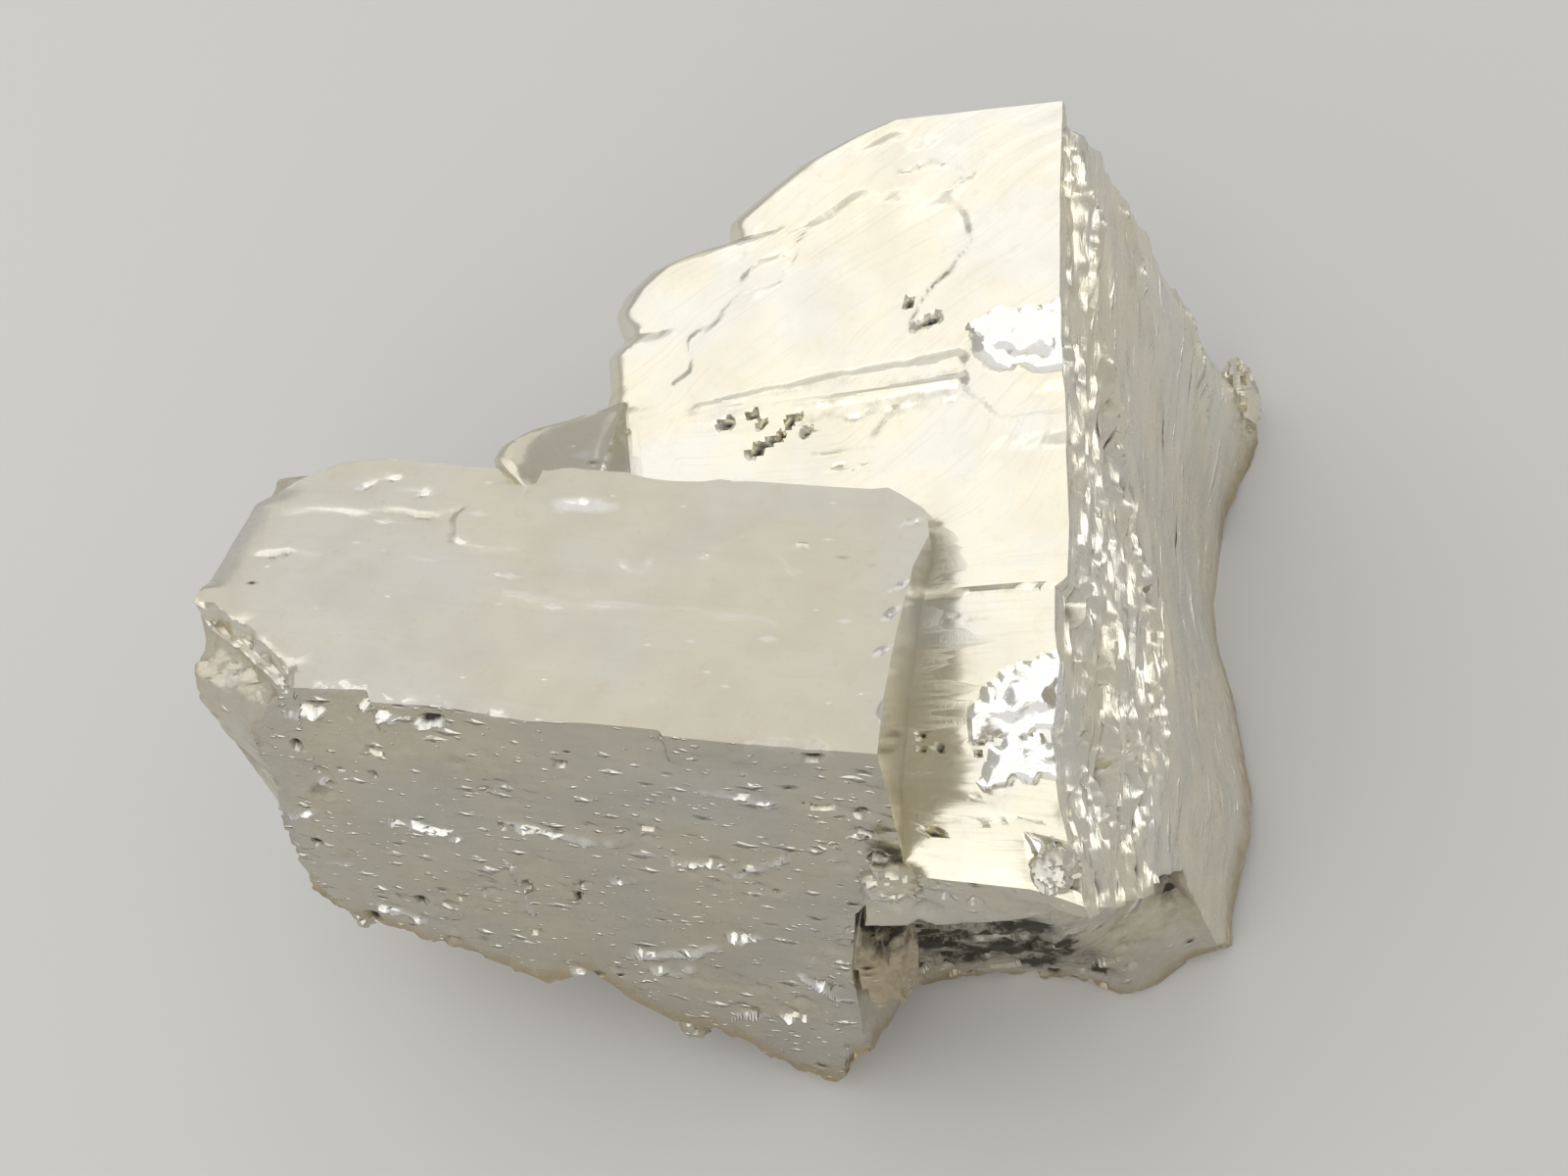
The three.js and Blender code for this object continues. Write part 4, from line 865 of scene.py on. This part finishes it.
# a spot round the middle of some of the cells: one channel of the cell's colour picks them,
# the second widens it beyond the least width, and up to the full distance its strength is 1
def cellSpot(tree, cells, share, channel, least, full):
    pick = node(tree, "SeparateColor", {0: cells.outputs["Color"]}).outputs
    width = scaled(tree, pick[1], 0.3, least)
    chosen = sums(tree, "LESS_THAN", pick[channel], share)
    return sums(tree, "MULTIPLY", ranged(tree, cells.outputs["Distance"], width, full), chosen)


# crumbs: planes of two sizes
def crumbGroup():
    tree, given, out = newGroup("crumbs", {}, ("Height",))
    heights = []
    for scale in (1.0, 2.6):
        cells = node(tree, "TexVoronoi", {"Vector": given["Vector"], "Scale": scale})
        heights.append(cellPlane(tree, given["Vector"], cells))
    tree.links.new(scaled(tree, heights[1], 0.8, heights[0]), out["Height"])
    return tree


# pinholes: a round hole in some of the cells
def pinholeGroup():
    tree, given, out = newGroup("pinholes", {"Share": 0.1}, ("Mask",))
    cells = node(tree, "TexVoronoi", {"Vector": given["Vector"], "Scale": 0.8})
    tree.links.new(cellSpot(tree, cells, given["Share"], 0, 0.18, 0.08), out["Mask"])
    return tree


# glints: in some of the cells, of two sizes, a lozenge stands out and leans its own way
def glintGroup():
    tree, given, out = newGroup("glints", {"Share": 0.1}, ("Height", "Mask"))
    heights, masks = [], []
    for scale in (0.55, 1.25):
        cells = node(tree, "TexVoronoi", {"Vector": given["Vector"], "Scale": scale}, distance="MANHATTAN")
        masks.append(cellSpot(tree, cells, given["Share"], 2, 0.22, 0.12))
        lean = scaled(tree, cellPlane(tree, given["Vector"], cells), 2.5, 0.6)
        heights.append(sums(tree, "MULTIPLY", lean, masks[-1]))
    tree.links.new(scaled(tree, heights[1], 0.6, heights[0]), out["Height"])
    tree.links.new(sums(tree, "MAXIMUM", *masks), out["Mask"])
    return tree


# colour, roughness and metal of the stone: clouds of silver, flecks of brass and streaks, painted shade
# towards the deep colour, then broken places, fresh breaks with painted highlights, and dirt with painted
# shade
def tarnishAndPaintedLightGroup():
    look = stoneLook
    tree, given, out = newGroup(
        "tarnishAndPaintedLight", {"Rough": 0.2, "PaintedShade": 1.0, "Cloud": 0.1, "Streak": 0.0, "DirtAndShade": 0.0, "FreshAndHighlight": 0.0,
                    "Broken": 0.0}, ("Color", "Roughness", "Metal"))
    place = given["Vector"]
    fleck = clouds(tree, place, 1 / look["fleck"], 5.0, 0.65)
    toSilver = ranged(tree, clouds(tree, place, given["Cloud"], 3.0), 0.42, 0.62)
    toMottle = ranged(tree, clouds(tree, place, 1 / look["mottle"], 2.0), 0.42, 0.72, 0.22)
    uneven = sums(tree, "SUBTRACT", fleck, 0.5)
    brokenMask = scaled(tree, uneven, 1.6, given["Broken"])
    brokenMask = sums(tree, "MULTIPLY", brokenMask, given["Broken"], clamp=True)
    dirtAndShadeMask = scaled(tree, uneven, 2.0, given["DirtAndShade"])
    dirtAndShadeMask = sums(tree, "MULTIPLY", dirtAndShadeMask, sums(tree, "MULTIPLY", given["DirtAndShade"], 1.6), clamp=True)
    color = blendColors(tree, toSilver, look["pale"], look["silver"])
    # the deep colour, mixed in by one less the shade, is painted shade
    for share, name in ((ranged(tree, fleck, 0.56, 0.8, 0.5), "brass"), (toMottle, "streak"),
                        (given["Streak"], "streak"), (sums(tree, "SUBTRACT", 1.0, given["PaintedShade"]), "deep"),
                        (brokenMask, "broken"), (given["FreshAndHighlight"], "freshAndHighlight"), (dirtAndShadeMask, "dirt")):
        color = blendColors(tree, share, color, look[name])
    tree.links.new(color, out["Color"])
    rough = scaled(tree, uneven, 0.22, given["Rough"])
    rough = scaled(tree, brokenMask, 0.14, rough)
    rough = scaled(tree, given["FreshAndHighlight"], -0.06, rough)
    tree.links.new(scaled(tree, dirtAndShadeMask, 0.4, rough, clamp=True), out["Roughness"])
    tree.links.new(scaled(tree, dirtAndShadeMask, -0.75, 1.0), out["Metal"])
    return tree


# a group placed in a tree, its sockets set
def useGroup(tree, group, sockets):
    return node(tree, "Group", sockets, node_tree=group).outputs


# one face's finish: lines run along its grain, crumbs and holes add to their height, tarnish colours it,
# painted shade and highlights included
def pyriteFinish(name, look, groups):
    material = bpy.data.materials.new(name)
    material.use_nodes = True
    tree = material.node_tree
    shader = tree.nodes["Principled BSDF"]
    shader.inputs["Metallic"].default_value = 1.0
    place = node(tree, "TexCoord").outputs["Object"]
    evenly = node(tree, "Mapping", {"Vector": place, "Scale": (mm, mm, mm)}, vector_type="TEXTURE")
    marks = {label: node(tree, "Attribute", attribute_name=label).outputs["Fac"]
             for label in ("dirt", "freshAndHighlight", "broken", "along", "across")}
    onFace = {}
    for label in ("lineSize", "glintSize"):
        length, width = look[label]
        parts = {0: sums(tree, "DIVIDE", marks["along"], length),
                 1: sums(tree, "DIVIDE", marks["across"], width)}
        onFace[label] = node(tree, "CombineXYZ", parts).outputs[0]
    lines = useGroup(tree, groups["lines"], {"Vector": onFace["lineSize"]})
    crumbs = useGroup(tree, groups["crumbs"], {"Vector": evenly.outputs[0]})
    holes = useGroup(tree, groups["holes"], {"Vector": onFace["glintSize"], "Share": look["share"]})
    glints = useGroup(tree, groups["glints"], {"Vector": onFace["glintSize"], "Share": look["lit"]})
    crumbDepth = scaled(tree, marks["broken"], 0.1, look["crumb"])
    crumbDepth = scaled(tree, marks["freshAndHighlight"], 0.03, crumbDepth)
    height = sums(tree, "MULTIPLY", lines["Height"], look["line"])
    height = scaled(tree, crumbs["Height"], crumbDepth, height)
    height = scaled(tree, holes["Mask"], -look["hole"], height)
    height = scaled(tree, glints["Height"], look["glint"], height)
    # the glint cells are lightened towards the fresh colour: painted glints
    freshAndHighlight = scaled(tree, glints["Mask"], 0.5, marks["freshAndHighlight"], clamp=True)
    streak = sums(tree, "MULTIPLY", lines["Streak"], look["streak"])
    relief = node(tree, "Bump", {"Height": height, "Distance": mm, "Strength": 1.0})
    dirt = scaled(tree, holes["Mask"], 0.75, marks["dirt"])
    skin = useGroup(tree, groups["tarnishAndPaintedLight"], {
        "Vector": evenly.outputs[0], "Rough": look["rough"], "PaintedShade": look["shade"],
        "Cloud": 1 / look["cloud"], "Streak": streak, "DirtAndShade": dirt, "FreshAndHighlight": freshAndHighlight,
        "Broken": marks["broken"]})
    for link, socket in ((skin["Color"], "Base Color"), (skin["Roughness"], "Roughness"),
                         (skin["Metal"], "Metallic"), (relief.outputs[0], "Normal")):
        tree.links.new(link, shader.inputs[socket])
    return material


groups = {"lines": growthLineGroup(), "crumbs": crumbGroup(), "holes": pinholeGroup(),
          "glints": glintGroup(), "tarnishAndPaintedLight": tarnishAndPaintedLightGroup()}
finishes = [pyriteFinish(name, dict(zip(lookNames, look)), groups) for name, look in faceLooks.items()]
# numbers of the finishes, in the order above
bright, top, ridged, bedded, broken, crust = range(6)
print("finishes:", ", ".join(faceLooks))


# what grows on the two crystals, and the finished mesh; lengths in millimetres, the angle in degrees,
# the block that cuts off what lies under the ground in metres
growths = {
    "triangles": 190000, "keepFrom": 0.1, "sharpAngle": 30, "groundBlock": 0.4,
    "terrace": (
        (-31.6, 21.9), (-30.6, 20.8), (-28.6, 19.5), (-27, 19), (-24, 18.6), (-21.2, 19.6), (-20.9, 21.4),
        (-22, 23.5), (-22.8, 26), (-23.4, 28.6), (-24.2, 30.3), (-25.5, 28.8), (-27.5, 26.9), (-30.1, 24.4),
        (-31.4, 23.1)),
    # rows of height and inset, then where each slope starts and how steep it is
    "terraceLevels": (
        (-12.5, 2.9), (-11.4, 1.9), (-8.5, 0.8), (-5, 0.1), (-1, 0), (0.1, 0.05), (0.55, 0.35), (0.8, 0.9)),
    "terraceSlopes": ((-29.5, 0.34), (-24.5, 1)),
    "terraceSeed": 210,
    # home, place, half sizes, finish, seed, darkening towards the top
    "stones": (
        (cube, (0.6, 51.5, 52.6), (1.6, 3.2, 3.4), ridged, 1, 0),
        (cube, (-12.6, 1.2, 2.3), (2, 1.7, 1.3), broken, 2, 0),
        (block, (-42.4, 1.6, -27.3), (1.5, 1.6, 1.5), bedded, 3, 0),
        (block, (-18.9, 1.2, -38.3), (1.2, 1.4, 1.6), bedded, 4, 0),
        (block, (-3.6, 3.4, -26.6), (2.2, 3, 8), crust, 5, 0.9),
        (cube, (-1.7, 0.7, 2.3), (1.5, 1.1, 1.6), broken, 6, 0)),
}


# what a piece's modifiers make becomes its own mesh
def applied(piece):
    shaped = bpy.data.meshes.new_from_object(piece.evaluated_get(bpy.context.evaluated_depsgraph_get()))
    piece.modifiers.clear()
    piece.data = shaped


# boolean of one closed mesh with others, which are then removed
def joined(target, others, operation):
    for other in others:
        cut = target.modifiers.new("join", "BOOLEAN")
        cut.operation, cut.solver, cut.object = operation, "MANIFOLD", other
    applied(target)
    for other in others:
        bpy.data.objects.remove(other)


specimen = gridBox("pyriteCrystals", cube, 0, cubeShape, (broken, ridged, ridged, ridged, bright, broken))
blockSolid = gridBox("block", block, -1, blockShape, (broken, top, broken, top, bedded, bedded))
terrace = mound("terrace", block, growths["terrace"], growths["terraceLevels"], growths["terraceSlopes"],
                top, growths["terraceSeed"])
stones = [stone("stone", *given) for given in growths["stones"]]
print("crystals made:", len(specimen.data.polygons), "and", len(blockSolid.data.polygons), "faces")
joined(specimen, [blockSolid, terrace] + stones, "UNION")
bpy.ops.mesh.primitive_cube_add(size=growths["groundBlock"], location=(0, 0, -growths["groundBlock"] / 2))
joined(specimen, [bpy.context.object], "DIFFERENCE")


# flat stretches need few triangles: edges are collapsed where that moves the surface least,
# and none along the fine lines
def thinned(piece, wanted, keepFrom):
    piece.data.calc_loop_triangles()
    before = len(piece.data.loop_triangles)
    keep = np.empty(len(piece.data.vertices), np.float32)
    piece.data.attributes["keep"].data.foreach_get("value", keep)
    loose = piece.vertex_groups.new(name="loose")
    loose.add(np.flatnonzero(keep < keepFrom).tolist(), 1.0, "REPLACE")
    thin = piece.modifiers.new("thin", "DECIMATE")
    thin.vertex_group = loose.name
    thin.ratio = min(1.0, wanted / before)
    applied(piece)
    piece.vertex_groups.clear()
    print("thinned from", before, "triangles,", int((keep >= keepFrom).sum()), "points kept for lines")


# points that stand past the frame's box are drawn in to it
def drawnIn(piece, box):
    mesh = piece.data
    points = np.empty(len(mesh.vertices) * 3, np.float32)
    mesh.vertices.foreach_get("co", points)
    points = points.reshape(-1, 3)
    past = np.maximum(np.array(box[0]) - points.min(0), points.max(0) - np.array(box[1]))
    points = np.clip(points, box[0], box[1])
    mesh.vertices.foreach_set("co", points.ravel())
    mesh.update()
    print("box kept:", len(points), "points, furthest past it", (past / mm).round(2).tolist(), "mm")


thinned(specimen, growths["triangles"], growths["keepFrom"])
drawnIn(specimen, cadBox)
specimen.data.shade_smooth()
specimen.data.set_sharp_from_angle(angle=radians(growths["sharpAngle"]))
specimen.data.calc_loop_triangles()
print("specimen:", len(specimen.data.loop_triangles), "triangles")
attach(specimen, "root")
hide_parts("pyrite_cluster")


# floor, light and camera; lengths in metres, but the camera's place, lens and sensor in millimetres
studio = {
    "floorSize": 6.0, "floorColor": (0.70, 0.695, 0.685), "floorRough": 0.9, "floorShine": 0.1,
    "world": 0.52, "worldColor": (1, 0.99, 0.97, 1),
    # direction, distance and size in metres, brightness of the lamp's face
    "lights": {
        "key": ((-0.68, 0.0, 0.72), 0.62, 0.84, 0.72),
        "rear": ((-0.227, 0.760, 0.609), 0.8, 0.8, 0.34),
        "rightCard": ((0.85, 0.35, 0.33), 0.8, 0.36, 1.6),
        "frontCard": ((-0.3, -0.76, 0.57), 0.9, 0.9, 0.95),
    },
    "cameraAt": (-0.59, -91.52, 179.32), "cameraTurn": (30, 0, 0), "lens": 55.84, "sensor": 36,
    "clipStart": 0.01,
}


# a pale matt square on the ground
def makeFloor():
    bpy.ops.mesh.primitive_plane_add(size=studio["floorSize"])
    floor = bpy.context.object
    floor.name = "floor"
    card = bpy.data.materials.new("paleCard")
    card.use_nodes = True
    shader = card.node_tree.nodes["Principled BSDF"]
    shader.inputs["Base Color"].default_value = (*studio["floorColor"], 1)
    shader.inputs["Roughness"].default_value = studio["floorRough"]
    shader.inputs["Specular IOR Level"].default_value = studio["floorShine"]
    floor.data.materials.append(card)


# a pale sky and round lamps turned to the origin; energy is brightness times pi times the lamp's area
def makeLights():
    world = bpy.data.worlds.new("studio")
    world.use_nodes = True
    shade = world.node_tree.nodes["Background"]
    shade.inputs["Color"].default_value = studio["worldColor"]
    shade.inputs["Strength"].default_value = studio["world"]
    bpy.context.scene.world = world
    for name, (way, away, size, glow) in studio["lights"].items():
        light = bpy.data.lights.new(name, "AREA")
        light.shape, light.size, light.energy = "DISK", size, glow * pi * pi * size * size / 4
        lamp = added(name, light)
        lamp.location = Vector(way).normalized() * away
        lamp.rotation_euler = Vector(way).to_track_quat("Z", "Y").to_euler()


# the camera at its place and turn
def makeCamera():
    data = bpy.data.cameras.new("camera")
    data.lens, data.sensor_width = studio["lens"], studio["sensor"]
    data.clip_start = studio["clipStart"]
    camera = added("camera", data)
    camera.location = Vector(studio["cameraAt"]) * mm
    camera.rotation_euler = Euler([radians(a) for a in studio["cameraTurn"]])
    bpy.context.scene.camera = camera


makeFloor()
makeLights()
makeCamera()
bpy.context.scene.view_settings.view_transform = "Standard"
print("stage set")
